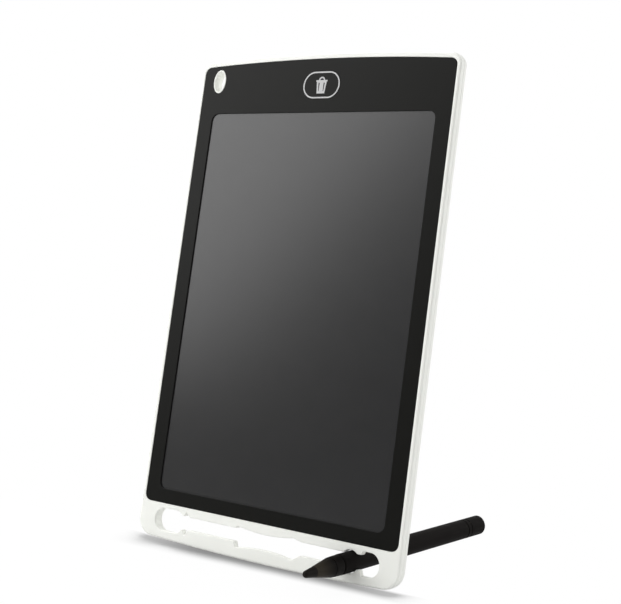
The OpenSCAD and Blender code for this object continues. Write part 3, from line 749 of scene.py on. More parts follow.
@dataclass(frozen=True)
class PenSlot:
    """Slot along the bottom strip: two round-ended pockets with facing teeth, a channel and a finger opening.

    The front half has all of it. The rear half has a plain, slightly larger slot.
    """

    left_gap: float = 9.9
    right_gap: float = 9.9
    centre_line: float = 9.8
    end_radius: float = 5.0
    channel_half: float = 2.8
    channel_rise: float = 0.3
    left_pocket: float = 16.8
    right_pocket: float = 10.0
    notch: float = 2.2
    notch_top: float = 0.3
    tooth_half_gap: float = 3.0
    tooth_root: float = 3.0
    tooth_tip: float = 1.0
    cradle_inset: float = 3.2
    cradle_radius: float = 4.6
    cradle_sway: Tuple[float, float] = (-0.268, 0.447)
    finger_length: float = 30.8
    finger_shift: float = 2.0
    finger_drop: float = 0.5
    finger_end_half: float = 4.6
    finger_waist_half: float = 3.2
    finger_slopes: Tuple[float, float] = (1.0, 4.2)
    finger_points: int = 25
    relief: float = 0.5
    corner: float = 0.32
    spacing: float = 0.3

    def loop(self, case_width: float) -> Array:
        """Anticlockwise loop of the slot: its lower edge from left to right, then its upper edge back.

        Args:
            case_width: Width of the case.

        Returns:
            Evenly spaced points with moulded corners.
        """
        x0, x1 = self._ends(case_width)
        upper = self._edge(x0, x1, Facing.UP)
        lower = self._edge(x0, x1, Facing.DOWN) * (1, -1)
        loop = np.vstack((lower, upper[-2:0:-1])) + (0, self.centre_line)
        return softened(loop, self.spacing, self.corner)

    def rear_loop(self, case_width: float) -> Array:
        """Anticlockwise oblong of the rear half, larger all round by the relief.

        Args:
            case_width: Width of the case.

        Returns:
            Points of the loop.
        """
        x0, x1 = self._ends(case_width)
        width, height = x1 - x0 + 2 * self.relief, 2 * (self.end_radius + self.relief)
        return oblong(width, height) + ((x0 + x1) / 2, self.centre_line)

    def _ends(self, case_width: float) -> Tuple[float, float]:
        """Left and right end of the slot."""
        return -case_width / 2 + self.left_gap, case_width / 2 - self.right_gap

    def _edge(self, x0: float, x1: float, way: Facing) -> Array:
        """One edge of the slot from left to right, as heights away from the centre line.

        Args:
            x0: Left end of the slot.
            x1: Right end of the slot.
            way: UP for the upper edge, DOWN for the lower one.

        Returns:
            Corner points, with the round ends as arcs.
        """
        r, c = self.end_radius, self.channel_half + way.value * self.channel_rise
        gap = self.tooth_half_gap + way.value * self.channel_rise
        right_tooth = x1 - self.right_pocket
        cradle = right_tooth - self.tooth_root / 2 - self.cradle_inset
        sway = self.cradle_sway if way is Facing.DOWN else (0.0, 0.0)
        entry, leave = (math.degrees(math.asin((h - sway[1]) / self.cradle_radius)) for h in (c, gap))
        left_tooth = x0 + self.left_pocket
        pocket = left_tooth - self.tooth_tip / 2 - math.sqrt(r ** 2 - self.tooth_half_gap ** 2)
        foot = left_tooth + self.tooth_root / 2
        return np.vstack((
            arc((x0 + r, 0), r, 180, 90),
            arc((pocket, 0), r, 90, math.degrees(math.asin(gap / r))),
            self._tooth(left_tooth, gap),
            [(foot + self.notch_top, r), (foot + self.notch, c)],
            self._finger((x0 + x1) / 2 + self.finger_shift, c, -way.value * self.finger_drop),
            arc((cradle + sway[0], sway[1]), self.cradle_radius, 180 - entry, leave),
            self._tooth(right_tooth, gap),
            arc((x1 - r, 0), r, 90, 0)))

    def _tooth(self, x: float, gap: float) -> Array:
        """Right half of an upper tooth, from its tip at the gap to its root at the pocket's edge."""
        return np.array([(x + self.tooth_tip / 2, gap), (x + self.tooth_root / 2, self.end_radius)])

    def _finger(self, x: float, channel: float, raised: float) -> Array:
        """Edge of the finger opening: the waist's height plus a parabola up to its ends, then slopes.

        Args:
            x: Middle of the opening.
            channel: Height of the channel's edge, to which the slopes fall.
            raised: How far the edge is moved away from the centre line.

        Returns:
            Points from left to right.
        """
        t = np.linspace(-1, 1, self.finger_points)
        half = self.finger_waist_half + (self.finger_end_half - self.finger_waist_half) * t ** 2
        bow = np.column_stack((x + t * self.finger_length / 2, half + raised))
        left, right = (self.finger_length / 2 + slope for slope in self.finger_slopes)
        return np.vstack(([(x - left, channel)], bow, [(x + right, channel)]))


@dataclass
class Tablet:
    """The tablet's axes, and the outlines that its pieces share."""

    axes: Axes
    top_drop: float = 2.4
    foot_rise: float = 1.7
    bottom_corner: float = 8.0
    top_corner: float = 5.5
    panel_corner: float = 3.4
    seat_gap: float = 0.1
    film_overlap: float = 2.5
    window_corner: float = 3.6
    loop_size: Tuple[float, float] = (5.9, 9.9)
    loop_rim: float = 0.7
    loop_inset: Tuple[float, float] = (9.4, 9.1)
    key_size: Tuple[float, float] = (20.2, 12.4)
    slot: PenSlot = PenSlot()

    def __post_init__(self) -> None:
        """Measures the solids and works out the outlines."""
        low, high = self.axes.box("front_frame")
        self.width = high[0] - low[0]
        self.seam, self.face = low[2], high[2]
        radius, foot = ((self.width ** 2 / 4 + rise ** 2) / (2 * rise)
                        for rise in (self.top_drop, self.foot_rise))
        centre = high[1] - radius
        self.case = ArchedOutline(self.width / 2, 0.0, centre, radius, self.bottom_corner,
                                  self.top_corner, foot)
        low, high = self.axes.box("front_panel")
        self.panel = ArchedOutline(high[0], low[1], centre, high[1] - centre, self.panel_corner,
                                   self.panel_corner)
        self.panel_rear, self.panel_face = low[2], high[2]
        self.loop_centre = np.array((-high[0] + self.loop_inset[0], high[1] - self.loop_inset[1]))
        self.ledge = self.axes.box("panel_tape")[0][2]
        self.window = self.axes.size("lcd_film")[:2] - 2 * self.film_overlap
        self.window_centre = self.axes.middle("lcd_film")
        self.key_centre = self.axes.middle("erase_key")
        self.slot_loop = self.slot.loop(self.width)
        self.rear_slot_loop = self.slot.rear_loop(self.width)

    def loop_oval(self, wall: float) -> Array:
        """Loop hole's oval with a wall round it."""
        return oval(self.loop_size[0] + 2 * wall, self.loop_size[1] + 2 * wall) + self.loop_centre


@dataclass
class FrontFrame:
    """White front half of the case: rounded rim, pocket for the panel, bottom strip with the pen slot."""

    tablet: Tablet
    front_round: float = 1.0
    seam_round: float = 0.15
    pocket_round: float = 0.22
    slot_round: float = 0.4
    ledge_width: float = 2.6
    rim_round: float = 0.22

    def build(self) -> None:
        """Builds the frame and its loop-hole rim, and dresses them in white ABS."""
        t = self.tablet
        shell = Shell()
        pocket = ArchedOutline(t.panel.half_width + t.seat_gap, t.panel.bottom - t.seat_gap,
                               t.panel.arch_centre, t.panel.arch_radius + t.seat_gap,
                               t.panel_corner, t.panel_corner)
        rear, front = shell.wall(t.case.inset, t.seam, t.face, self.seam_round, self.front_round)
        slot_rear, slot_front = shell.wall(outwards(t.slot_loop), t.seam, t.face, self.seam_round,
                                           self.slot_round, Side.HOLE)
        ledge_loop, mouth = shell.wall(lambda by: pocket.inset(-by), t.ledge, t.face, 0.0,
                                       self.pocket_round, Side.HOLE)
        opening, ledge_edge = shell.wall(lambda by: pocket.inset(self.ledge_width - by), t.seam, t.ledge,
                                         side=Side.HOLE)
        shell.flat((front, mouth, slot_front), t.face, Facing.UP)
        shell.flat((ledge_loop, ledge_edge), t.ledge, Facing.UP)
        shell.flat((rear, opening, slot_rear), t.seam, Facing.DOWN)
        self._loop_rim(shell)
        make_piece("front_frame_shell", shell, t.axes.place, WHITE_ABS, "tablet", "front_frame")

    def _loop_rim(self, shell: Shell) -> None:
        """Adds the oval rim of the loop hole, a short tube with a rounded lip.

        Args:
            shell: Shell of the frame.
        """
        t = self.tablet
        top = t.axes.box("erase_key")[1][2]
        outer = shell.wall(inwards(t.loop_oval(t.loop_rim)), t.seam, top, 0.0, self.rim_round)
        inner = shell.wall(outwards(t.loop_oval(0)), t.seam, top, 0.0, self.rim_round, Side.HOLE)
        shell.flat((outer[0], inner[0]), t.seam, Facing.DOWN)
        shell.flat((outer[1], inner[1]), top, Facing.UP)


@dataclass
class RearCover:
    """White rear half of the case: plain back with the battery recess, the slot and the loop hole."""

    tablet: Tablet
    seam_gap: float = 0.1
    back_round: float = 0.8
    draft: float = 0.3
    seam_round: float = 0.15
    slot_round: float = 0.35
    hole_round: float = 0.2
    floor: float = 1.2
    cavity_inset: float = 1.6
    deck: float = 0.7
    deck_rim: float = 2.0
    deck_margin: float = 0.05
    door_gap: float = 0.25
    door_corner: float = 2.5
    well_gap: float = 0.3
    well_steps: int = 72
    loop_wall: float = 1.2
    boss_radius: float = 2.2
    boss_height: float = 2.1
    screw_radius: float = 0.85
    screw_steps: int = 24
    rib_width: float = 1.0
    rib_corner: float = 0.3
    rib_inset: float = 8.0
    rib_columns: int = 4
    rib_rows: int = 5

    def build(self) -> None:
        """Builds the cover with its battery deck and ribs, and dresses it in white ABS."""
        t = self.tablet
        shell = Shell()
        top = t.seam - self.seam_gap
        back, rim = shell.wall(t.case.inset, 0.0, top, self.back_round, self.seam_round, draft=self.draft)
        slot_back, slot_top = shell.wall(outwards(t.rear_slot_loop), 0.0, top, self.slot_round,
                                         self.seam_round, Side.HOLE)
        loop_back, loop_top = shell.wall(outwards(t.loop_oval(0)), 0.0, top, self.hole_round,
                                         side=Side.HOLE)
        recess_back, deck_low = self._battery_deck(shell)
        shell.flat((back, slot_back, loop_back, recess_back), 0.0, Facing.DOWN)
        tube_low, tube_top = shell.wall(inwards(t.loop_oval(self.loop_wall)), self.floor, top)
        shell.flat((tube_top, loop_top), top, Facing.UP)
        cavity_low, cavity_top = shell.wall(lambda by: t.panel.inset(self.cavity_inset - by), self.floor,
                                            top, side=Side.HOLE)
        shell.flat((cavity_low, tube_low, deck_low), self.floor, Facing.UP)
        shell.flat((rim, cavity_top, slot_top), top, Facing.UP)
        self._ribs(shell)
        make_piece("rear_cover_shell", shell, t.axes.place, WHITE_ABS, "tablet", "rear_cover")

    def _battery_deck(self, shell: Shell) -> Tuple[Array, Array]:
        """Adds the door's recess, and over it the deck with the cell's well and the boss for the screw.

        Args:
            shell: Shell of the cover.

        Returns:
            The recess's loop in the back, and the deck's loop on the floor.
        """
        t = self.tablet
        door_at = t.axes.middle("battery_door")
        door_size = t.axes.size("battery_door")[:2] + 2 * self.door_gap
        recess = round_rect(*door_size, self.door_corner) + door_at
        deck = round_rect(*(door_size + 2 * self.deck_rim), self.door_corner) + door_at
        highest = t.panel.top_at(deck[:, 0], self.cavity_inset + self.deck_margin)
        deck[:, 1] = np.minimum(deck[:, 1], highest)
        well_radius = t.axes.size("coin_cell")[0] / 2 + self.well_gap
        well = circle(t.axes.middle("coin_cell"), well_radius, self.well_steps)
        screw_at = t.axes.middle("door_screw")
        boss = circle(screw_at, self.boss_radius)
        bore = circle(screw_at, self.screw_radius, self.screw_steps)
        deck_top = self.floor + self.deck
        boss_top = self.floor + self.boss_height
        recess_back, recess_top = shell.wall(outwards(recess), 0.0, self.floor, self.hole_round,
                                             side=Side.HOLE)
        well_low, well_top = shell.wall(outwards(well), self.floor, deck_top, side=Side.HOLE)
        bore_low = shell.capped(outwards(bore), self.floor, boss_top - self.deck, side=Side.HOLE)
        shell.flat((recess_top, well_low, bore_low), self.floor, Facing.DOWN)
        boss_low = shell.capped(inwards(boss), deck_top, boss_top)
        deck_low, deck_loop = shell.wall(inwards(deck), self.floor, deck_top)
        shell.flat((deck_loop, well_top, boss_low), deck_top, Facing.UP)
        return recess_back, deck_low

    def _ribs(self, shell: Shell) -> None:
        """Adds the lattice of ribs behind the writing sheet, each a closed bar that stands on the floor.

        Args:
            shell: Shell of the cover.
        """
        low, high = self.tablet.axes.box("lcd_film")
        top = self.tablet.axes.box("backing_sheet")[0][2] - self.seam_gap
        x0, x1 = low[0] + self.rib_inset, high[0] - self.rib_inset
        y0, y1 = low[1] + self.rib_inset, high[1] - 2 * self.rib_inset
        columns, rows = np.linspace(x0, x1, self.rib_columns), np.linspace(y0, y1, self.rib_rows)
        bars = [(x, (y0 + y1) / 2, self.rib_width, y1 - y0) for x in columns]
        bars += [((x0 + x1) / 2, y, x1 - x0, self.rib_width) for y in rows]
        for x, y, width, height in bars:
            bar = round_rect(width, height, self.rib_corner) + (x, y)
            foot = shell.capped(inwards(bar), self.floor, top)
            shell.flat((foot,), self.floor, Facing.DOWN)


@dataclass
class FrontPanel:
    """Black bezel: a thin panel with the window, the key's opening and the loop's opening."""

    tablet: Tablet
    edge_round: float = 0.08
    key_gap: float = 0.25

    def build(self) -> None:
        """Builds the panel and dresses it in printed acrylic."""
        t = self.tablet
        shell = Shell()
        window = round_rect(*t.window, t.window_corner) + t.window_centre
        key = grown(oblong(*t.key_size), self.key_gap) + t.key_centre
        holes = (window, key, t.loop_oval(t.loop_rim + t.seat_gap))
        levels = (t.panel_rear, t.panel_face, 0.0, self.edge_round)
        ends = [shell.wall(t.panel.inset, *levels)]
        ends += [shell.wall(outwards(hole), *levels, Side.HOLE) for hole in holes]
        shell.flat([low for low, _ in ends], t.panel_rear, Facing.DOWN)
        shell.flat([high for _, high in ends], t.panel_face, Facing.UP)
        make_piece("front_panel_sheet", shell, t.axes.place, BLACK_PANEL, "tablet", "front_panel")


@dataclass
class EraseKey:
    """Black oblong key with a flange behind the panel and a seat for its silicone pad."""

    tablet: Tablet
    flange: float = 1.2
    flange_height: float = 0.3
    edge_round: float = 0.06
    pad_gap: float = 0.05

    def build(self) -> None:
        """Builds the key and dresses it in black ABS."""
        t = self.tablet
        shell = Shell()
        low, high = (corner[2] for corner in t.axes.box("erase_key"))
        seat = circle(t.key_centre, t.axes.size("key_pad")[0] / 2 + self.pad_gap)
        seat_top = t.axes.box("key_pad")[1][2] + self.pad_gap
        body = oblong(*t.key_size) + t.key_centre
        step = low + self.flange_height
        foot, brim = shell.wall(inwards(grown(body, self.flange)), low, step)
        neck = shell.capped(inwards(body), step, high, 0.0, self.edge_round)
        seat_low = shell.capped(outwards(seat), low, seat_top, side=Side.HOLE)
        shell.flat((foot, seat_low), low, Facing.DOWN)
        shell.flat((brim, neck), step, Facing.UP)
        make_piece("erase_key_cap", shell, t.axes.place, BLACK_KEY, "key", "erase_key")


@dataclass
class BatteryDoor:
    """White door in the back, with a sunk screw at one end and a finger notch at the other."""

    tablet: Tablet
    corner: float = 2.25
    back_round: float = 0.25
    head_radius: float = 1.6
    head_depth: float = 0.75
    shank_radius: float = 0.9
    notch: Tuple[float, float] = (1.4, 7.0)
    notch_depth: float = 0.4
    notch_inset: float = 2.35
    notch_round: float = 0.15

    def build(self) -> None:
        """Builds the door and dresses it in white ABS."""
        t = self.tablet
        shell = Shell()
        low, high = t.axes.box("battery_door")
        centre, screw_at = t.axes.middle("battery_door"), t.axes.middle("door_screw")
        outline = round_rect(*(high - low)[:2], self.corner) + centre
        head, shank = circle(screw_at, self.head_radius), circle(screw_at, self.shank_radius)
        notch_at = (low[0] + self.notch_inset + self.notch[0] / 2, centre[1])
        # Swapping x and y stands the oblong up, and the turned order keeps it anticlockwise.
        notch = oblong(self.notch[1], self.notch[0])[:, ::-1][::-1] + notch_at
        back, front = shell.wall(inwards(outline), low[2], high[2], self.back_round)
        head_back, head_seat = shell.wall(outwards(head), low[2], self.head_depth, self.notch_round,
                                          side=Side.HOLE)
        shank_low, shank_top = shell.wall(outwards(shank), self.head_depth, high[2], side=Side.HOLE)
        notch_back = shell.capped(outwards(notch), low[2], self.notch_depth, self.notch_round,
                                  side=Side.HOLE)
        shell.flat((back, head_back, notch_back), low[2], Facing.DOWN)
        shell.flat((head_seat, shank_low), self.head_depth, Facing.DOWN)
        shell.flat((front, shank_top), high[2], Facing.UP)
        make_piece("battery_door_plate", shell, t.axes.place, WHITE_ABS, "door", "battery_door")


# Stylus

@dataclass
class Stylus:
    """Black stylus: a cone with a ringed collar, a tube, and a ringed tail plug."""

    axes: Axes
    tip_radius: float = 1.5
    tip_turn: float = 83.0
    tip_steps: int = 12
    nib_length: float = 6.1
    nib_radius: float = 2.3
    nib_seam: float = 0.08
    nose_length: float = 15.4
    nose_radius: float = 4.1
    cone_points: int = 10
    collar_length: float = 5.3
    collar_step: float = 0.1
    swell_from: float = 0.2
    swell_points: int = 9
    tail_length: float = 12.6
    tail_ring: float = 2.2
    tail_round: float = 0.5
    tail_steps: int = 10
    wall: float = 1.2
    spigot: float = 8.0
    spigot_gap: float = 0.05
    groove: float = 0.4
    groove_depth: float = 0.35
    lip: float = 0.12
    lip_bend: float = 0.3
    joint_lip: float = 0.3
    # Painted highlight on the cone: where it ends, over what length it fades, and how much of it the nib
    # gets.
    highlight_to: float = 14.5
    highlight_fade: float = 6.0
    nib_highlight: float = 0.12

    def __post_init__(self) -> None:
        """Measures the solids."""
        low, high = self.axes.box("pen_barrel")
        self.radius = (high[0] - low[0]) / 2
        self.barrel = (low[2], high[2])
        self.length = self.axes.box("pen_cap")[1][2]
        self.core = self.radius - self.wall

    def build(self) -> None:
        """Builds the three turned pieces and dresses them in black ABS."""
        # The nose's cone gets a painted highlight, a lighter band for the floor's reflection.
        self._paint_highlight(self._turned("pen_nose_cone", self._nose(), "pen_nose", PEN_NOSE_HIGHLIGHTED))
        self._turned("pen_barrel_tube", self._tube(), "pen_barrel", BLACK_PEN, ring=True)
        self._turned("pen_tail_plug", self._tail(), "pen_cap", BLACK_PEN)

    def _paint_highlight(self, nose: bpy.types.Object) -> None:
        """Marks the painted highlight: a little on the nib, all of it behind that, then less, to nothing
        before the ring.

        Args:
            nose: The finished nose.
        """
        along = (mesh_points(nose.data) - self.axes.origin) @ self.axes.turn[:, 2] / MM
        painted_highlight = np.clip((self.highlight_to - along) / self.highlight_fade, 0, 1)
        painted_highlight[along < self.nib_length - self.nib_seam / 2] = self.nib_highlight
        # The painted highlight goes in a point attribute that the nose's finish reads.
        attribute = nose.data.attributes.new(PEN_NOSE_HIGHLIGHTED.attribute, "FLOAT", "POINT")
        attribute.data.foreach_set("value", painted_highlight.astype(np.float32))

    def _turned(self, name: str, profile: Array, node: str, finish: Finish,
                ring: bool = False) -> bpy.types.Object:
        """Turns a profile about the stylus's axis.

        Args:
            name: Name of the piece.
            profile: Points of (z, r), with z from the tip.
            node: CAD node that the piece stands for.
            finish: Its finish.
            ring: True for a profile that is a closed section.

        Returns:
            The finished piece.
        """
        shell = Shell()
        shell.tube(lathe(profile), Side.OUTER, ring)
        return make_piece(name, shell, self.axes.place, finish, "stylus", node)

    def _ring(self, z: float, radius: float) -> Array:
        """Turned groove with rounded lips.

        Args:
            z: Where the groove begins.
            radius: Radius of the stylus there.

        Returns:
            Points of (z, r).
        """
        end, deep = z + self.groove, radius - self.groove_depth
        lip, bend = self.lip, self.lip_bend * self.lip
        return np.array([(z - lip, radius), (z - bend, radius - bend), (z, radius - lip), (z, deep),
                         (end, deep), (end, radius - lip), (end + bend, radius - bend), (end + lip, radius)])

    def _nose(self) -> Array:
        """Round nib with a fine seam behind it, straight cone, ring, collar and the spigot inside the tube.

        Returns:
            Points of (z, r). The collar swells as one minus the square of what is left of its length.
        """
        end = self.nose_length + self.collar_length
        nib, seam = self.nib_length, self.nib_seam
        collar = self.radius - self.collar_step
        u = np.linspace(0, 1, self.cone_points + 2)[1:-1]
        cone = np.column_stack((nib + u * (self.nose_length - nib),
                                self.nib_radius + u * (self.nose_radius - self.nib_radius)))
        t = np.linspace(self.swell_from, 1, self.swell_points)
        swell = np.column_stack((self.nose_length + t * self.collar_length,
                                 self.nose_radius + (collar - self.nose_radius) * (1 - (1 - t) ** 2)))
        swell[-1, 0] -= self.joint_lip
        spigot, inner_end = self.core - self.spigot_gap, end + self.spigot
        return np.vstack((
            arc((self.tip_radius, 0), self.tip_radius, 180, 180 - self.tip_turn, self.tip_steps),
            [(nib - 2 * seam, self.nib_radius - seam), (nib - seam, self.nib_radius - 2 * seam),
             (nib, self.nib_radius - 2 * seam), (nib + seam, self.nib_radius)],
            cone,
            self._ring(self.nose_length, self.nose_radius),
            swell,
            [(end, collar - self.joint_lip), (end, spigot), (inner_end, spigot), (inner_end, 0)]))

    def _tube(self) -> Array:
        """Closed section of the tube, with small rounds on its outer lips.

        Returns:
            Points of (z, r).
        """
        z0, z1 = self.barrel
        r, lip, front = self.radius, self.lip, self.joint_lip
        return np.array([(z0, self.core), (z0, r - front), (z0 + front, r),
                         (z1 - lip, r), (z1, r - lip), (z1, self.core)])

    def _tail(self) -> Array:
        """Spigot, ringed plug and rounded end.

        Returns:
            Points of (z, r).
        """
        z0 = self.length - self.tail_length
        r, lip, spigot = self.radius, self.lip, self.core - self.spigot_gap
        plug = [(z0 - self.spigot, 0), (z0 - self.spigot, spigot), (z0, spigot), (z0, r - lip), (z0 + lip, r)]
        end = arc((self.length - self.tail_round, r - self.tail_round), self.tail_round, 90, 0,
                  self.tail_steps)
        return np.vstack((plug, self._ring(z0 + self.tail_ring, r), end, [(self.length, 0)]))


# Solids that keep their own shape

KEPT_SOLIDS = {
    "panel_tape": FOAM_TAPE, "lcd_film": CRYSTAL_FILM, "backing_sheet": BACKING, "film_tail": POLYIMIDE,
    "key_print": WHITE_INK, "key_pad": SILICONE, "tact_switch": BLACK_NYLON, "switch_plunger": WHITE_NYLON,
    "circuit_board": SOLDER_MASK, "controller_chip": CHIP_EPOXY, "board_parts": CERAMIC,
    "board_screws": NICKEL_STEEL, "coin_cell": NICKEL_STEEL, "cell_contact_top": NICKEL_STEEL,
    "cell_contact_side": NICKEL_STEEL, "door_screw": NICKEL_STEEL,
}


def dress_kept_solids() -> None:
    """Gives each solid that keeps its own shape its finish."""
    for node, finish in KEPT_SOLIDS.items():
        for slot in frame["nodes"][node].material_slots:
            slot.material = finish.material()
        LOG.info("%s keeps its shape in %s", node, finish.name)


# Studio

@dataclass(frozen=True)
class SoftBox:
    """A square soft light that looks at the middle of the object."""

    name: str
    place: Tuple[float, float, float]
    size: float
    radiance: float

    def build(self, target: Vector) -> None:
        """Adds the light; its power is the radiance times pi times its area.

        Args:
            target: Middle of the object.
        """
        light = bpy.data.lights.new(self.name, "AREA")
        light.shape = "SQUARE"
        light.size = self.size
        light.energy = self.radiance * math.pi * self.size ** 2
        lamp = add_object(self.name, light)
        lamp.location = self.place
        lamp.rotation_euler = (target - Vector(self.place)).to_track_quat("-Z", "Y").to_euler()


@dataclass
class Studio:
    """Plain white floor and room, soft light from both sides and low in front, and the camera.

    Sizes are in metres here, the sensor's in millimetres and the image's in pixels, and angles in degrees.
    """

    subject: Axes
    image: Tuple[int, int] = (621, 604)
    focal_px: float = 1289.63
    axis_px: Tuple[float, float] = (360.0, 245.0)
    azimuth: float = 34.654
    elevation: float = 4.578
    camera_offset: Tuple[float, float, float] = (0.3471, -0.42891, 0.183423)
    sensor: float = 36.0
    clip: Tuple[float, float] = (0.01, 50.0)
    floor_size: float = 12.0
    paper: str = "#f5f5f5"
    # Share of white glow at the object, and the distances between which it grows to all.
    white_near: float = 0.97
    white_from: float = 0.08
    white_to: float = 0.25
    # Shade at the case's foot: its reach, how open the floor is where it is darkest and where it ends, its
    # level in the middle and towards both ends, and how far out those lie.
    contact: float = 0.017
    contact_open: Tuple[float, float] = (0.63, 0.975)
    contact_shades: Tuple[float, float] = (0.29, 0.53)
    contact_ends: Tuple[float, float] = (0.03, 0.075)
    # Where the shade turns to white behind the foot and in front of it, and how much its front line slants.
    shade_ends: Tuple[float, float] = (-0.004, 0.002)
    shade_front: Tuple[float, float] = (-0.0038, -0.0138)
    shade_slant: float = 0.037
    # Light from all round, and the room that gloss shows: its level at the floor and overhead, and where it
    # turns to white from front to back.
    ambient: float = 0.4
    room_low: float = 0.05
    room_high: float = 0.17
    room_turn: Tuple[float, float] = (-0.2, 0.4)
    boxes: Tuple[SoftBox, ...] = (
        SoftBox("key_softbox", (-0.696, -0.171, 0.841), 1.586, 2.4),
        SoftBox("fill_softbox", (1.0, 0.8, 0.7), 1.0, 2.2),
        SoftBox("low_softbox", (0.3, -0.95, 0.1), 0.6, 1.0),
    )

    def build(self) -> None:
        """Builds floor, world, lights and camera."""
        scene = bpy.context.scene
        scene.view_settings.view_transform = "Standard"
        self._floor()
        self._world(scene)
        low, high = CAD_BOUNDS
        target = (Vector(low) + Vector(high)) / 2
        for box in self.boxes:
            box.build(target)
        self._camera(scene)

    def _floor(self) -> None:
        """Adds the floor, one square of paper."""
        half = self.floor_size / 2
        corners = [(-half, -half, 0), (half, -half, 0), (half, half, 0), (-half, half, 0)]
        mesh = bpy.data.meshes.new("studio_floor")
        mesh.from_pydata(corners, [], [(0, 1, 2, 3)])
        mesh.materials.append(self._paper())
        add_object("studio_floor", mesh)

    def _paper(self) -> bpy.types.Material:
        """White paper that keeps the shadow in front of the object and is plain white to the eye elsewhere.

        Returns:
            The material: paper to the rays that carry light, and nearly all white glow to those that see it.
            The glow is dimmed near the case's front edge, by how much the object closes in the floor.
        """
        material = bpy.data.materials.new("white_paper_sweep")
        tree = fresh_tree(material)
        smooth = {"interpolation_type": "SMOOTHSTEP"}
        where = add_node(tree, "ShaderNodeTexCoord", {}).outputs["Object"]
        part = add_node(tree, "ShaderNodeSeparateXYZ", {0: where})
        away = add_node(tree, "ShaderNodeVectorMath", {0: where}, operation="LENGTH")
        slanted = add_node(tree, "ShaderNodeVectorMath", {0: where, 1: (-self.shade_slant, 1.0, 0.0)},
                           operation="DOT_PRODUCT")
        base = self.subject.origin[1]
        ramps = ((away.outputs["Value"], 0.0, (self.white_from, self.white_to), self.white_near),
                 (part.outputs["Y"], base, self.shade_ends, 0.0),
                 (slanted.outputs["Value"], base, self.shade_front, self.contact_shades[0]))
        far, behind, before = (add_node(tree, "ShaderNodeMapRange", {
            "Value": value, "From Min": zero + start, "From Max": zero + end, "To Min": least}, **smooth)
            for value, zero, (start, end), least in ramps)
        nook = add_node(tree, "ShaderNodeAmbientOcclusion", {
            "Color": linear(self.paper), "Distance": self.contact}, samples=16)
        across = add_node(tree, "ShaderNodeMath", {0: part.outputs["X"]}, operation="ABSOLUTE")
        darkest = add_node(tree, "ShaderNodeMapRange", {
            "Value": across.outputs[0], "From Min": self.contact_ends[0], "From Max": self.contact_ends[1],
            "To Min": self.contact_shades[0], "To Max": self.contact_shades[1]}, **smooth)
        shade = add_node(tree, "ShaderNodeMapRange", {
            "Value": nook.outputs["AO"], "From Min": self.contact_open[0], "From Max": self.contact_open[1],
            "To Min": darkest.outputs[0]}, **smooth)
        white, bare = (add_node(tree, "ShaderNodeMath", {
            0: behind.outputs[0], 1: other.outputs[0]}, operation="MAXIMUM") for other in (far, before))
        level = add_node(tree, "ShaderNodeMath", {0: shade.outputs[0], 1: bare.outputs[0]},
                         operation="MAXIMUM")
        plain = add_node(tree, "ShaderNodeMath", {0: white.outputs[0], 1: self._seen(tree)},
                         operation="MULTIPLY")
        # The paper's colour is darkened by the same occlusion: painted shade wherever the object closes in
        # the floor.
        paper = add_node(tree, "ShaderNodeBsdfDiffuse", {"Color": nook.outputs["Color"]})
        glow = add_node(tree, "ShaderNodeEmission", {"Strength": level.outputs[0]})
        both = add_node(tree, "ShaderNodeMixShader", {
            0: plain.outputs[0], 1: paper.outputs[0], 2: glow.outputs[0]})
        add_node(tree, "ShaderNodeOutputMaterial", {"Surface": both.outputs[0]})
        return material

    def _seen(self, tree: Tree) -> Socket:
        """Tells the rays that see a surface from those that only carry light.

        Args:
            tree: Tree that the nodes go into.

        Returns:
            One for camera, glossy and transmission rays, nought for the others.
        """
        path = add_node(tree, "ShaderNodeLightPath", {})
        some = add_node(tree, "ShaderNodeMath", {
            0: path.outputs["Is Camera Ray"], 1: path.outputs["Is Glossy Ray"]}, operation="MAXIMUM")
        return add_node(tree, "ShaderNodeMath", {
            0: some.outputs[0], 1: path.outputs["Is Transmission Ray"]}, operation="MAXIMUM").outputs[0]

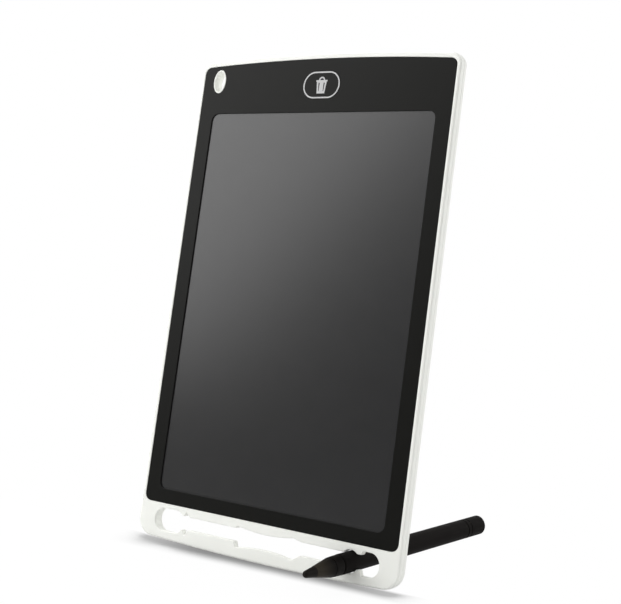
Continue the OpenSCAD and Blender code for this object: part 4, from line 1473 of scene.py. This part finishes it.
    def _world(self, scene: bpy.types.Scene) -> None:
        """White backdrop for what is seen, a plain level for light, and a dim room in front for gloss.

        Args:
            scene: Scene that gets the world.
        """
        world = bpy.data.worlds.new("white_room")
        scene.world = world
        tree = fresh_tree(world)
        path = add_node(tree, "ShaderNodeLightPath", {})
        way = add_node(tree, "ShaderNodeTexCoord", {}).outputs["Generated"]
        part = add_node(tree, "ShaderNodeSeparateXYZ", {0: way})
        room = add_node(tree, "ShaderNodeMapRange", {
            "Value": part.outputs["Z"], "To Min": self.room_low, "To Max": self.room_high})
        behind = add_node(tree, "ShaderNodeMapRange", {
            "Value": part.outputs["Y"], "From Min": self.room_turn[0], "From Max": self.room_turn[1]},
            interpolation_type="SMOOTHSTEP")
        gloss = add_node(tree, "ShaderNodeMix", {
            FACTOR: behind.outputs[0], NUMBER_A: room.outputs[0], NUMBER_B: 1.0})
        lit = add_node(tree, "ShaderNodeMix", {
            FACTOR: path.outputs["Is Glossy Ray"], NUMBER_A: self.ambient, NUMBER_B: gloss.outputs[0]})
        open_view = add_node(tree, "ShaderNodeMath", {
            0: path.outputs["Is Camera Ray"], 1: path.outputs["Is Transmission Ray"]}, operation="MAXIMUM")
        level = add_node(tree, "ShaderNodeMix", {
            FACTOR: open_view.outputs[0], NUMBER_A: lit.outputs[0], NUMBER_B: 1.0})
        back = add_node(tree, "ShaderNodeBackground", {
            "Color": (1.0, 1.0, 1.0, 1.0), "Strength": level.outputs[0]})
        add_node(tree, "ShaderNodeOutputWorld", {"Surface": back.outputs[0]})

    def _camera(self, scene: bpy.types.Scene) -> None:
        """Adds the camera; the shift moves the image so that the lens axis meets it at axis_px.

        Args:
            scene: Scene that gets the camera.
        """
        width, height = self.image
        lens = bpy.data.cameras.new("photo_view")
        lens.sensor_fit = "HORIZONTAL"
        lens.sensor_width = self.sensor
        lens.lens = self.focal_px / width * self.sensor
        lens.shift_x = (width / 2 - self.axis_px[0]) / width
        lens.shift_y = (self.axis_px[1] - height / 2) / width
        lens.clip_start, lens.clip_end = self.clip
        a, e = math.radians(self.azimuth), math.radians(self.elevation)
        back = Vector((math.sin(a) * math.cos(e), -math.cos(a) * math.cos(e), math.sin(e)))
        camera = add_object("photo_view", lens)
        camera.location = Vector(self.subject.origin) + Vector(self.camera_offset)
        camera.rotation_euler = back.to_track_quat("Z", "Y").to_euler()
        scene.camera = camera


def main() -> None:
    """Builds the tablet, its stylus and the studio, and reports each piece."""
    logging.basicConfig(level=logging.INFO, format="%(name)s: %(message)s")
    tablet = Tablet(tablet_axes())
    FrontFrame(tablet).build()
    RearCover(tablet).build()
    FrontPanel(tablet).build()
    EraseKey(tablet).build()
    BatteryDoor(tablet).build()
    Stylus(stylus_axes()).build()
    dress_kept_solids()
    Studio(tablet.axes).build()


if __name__ == "__main__":
    main()
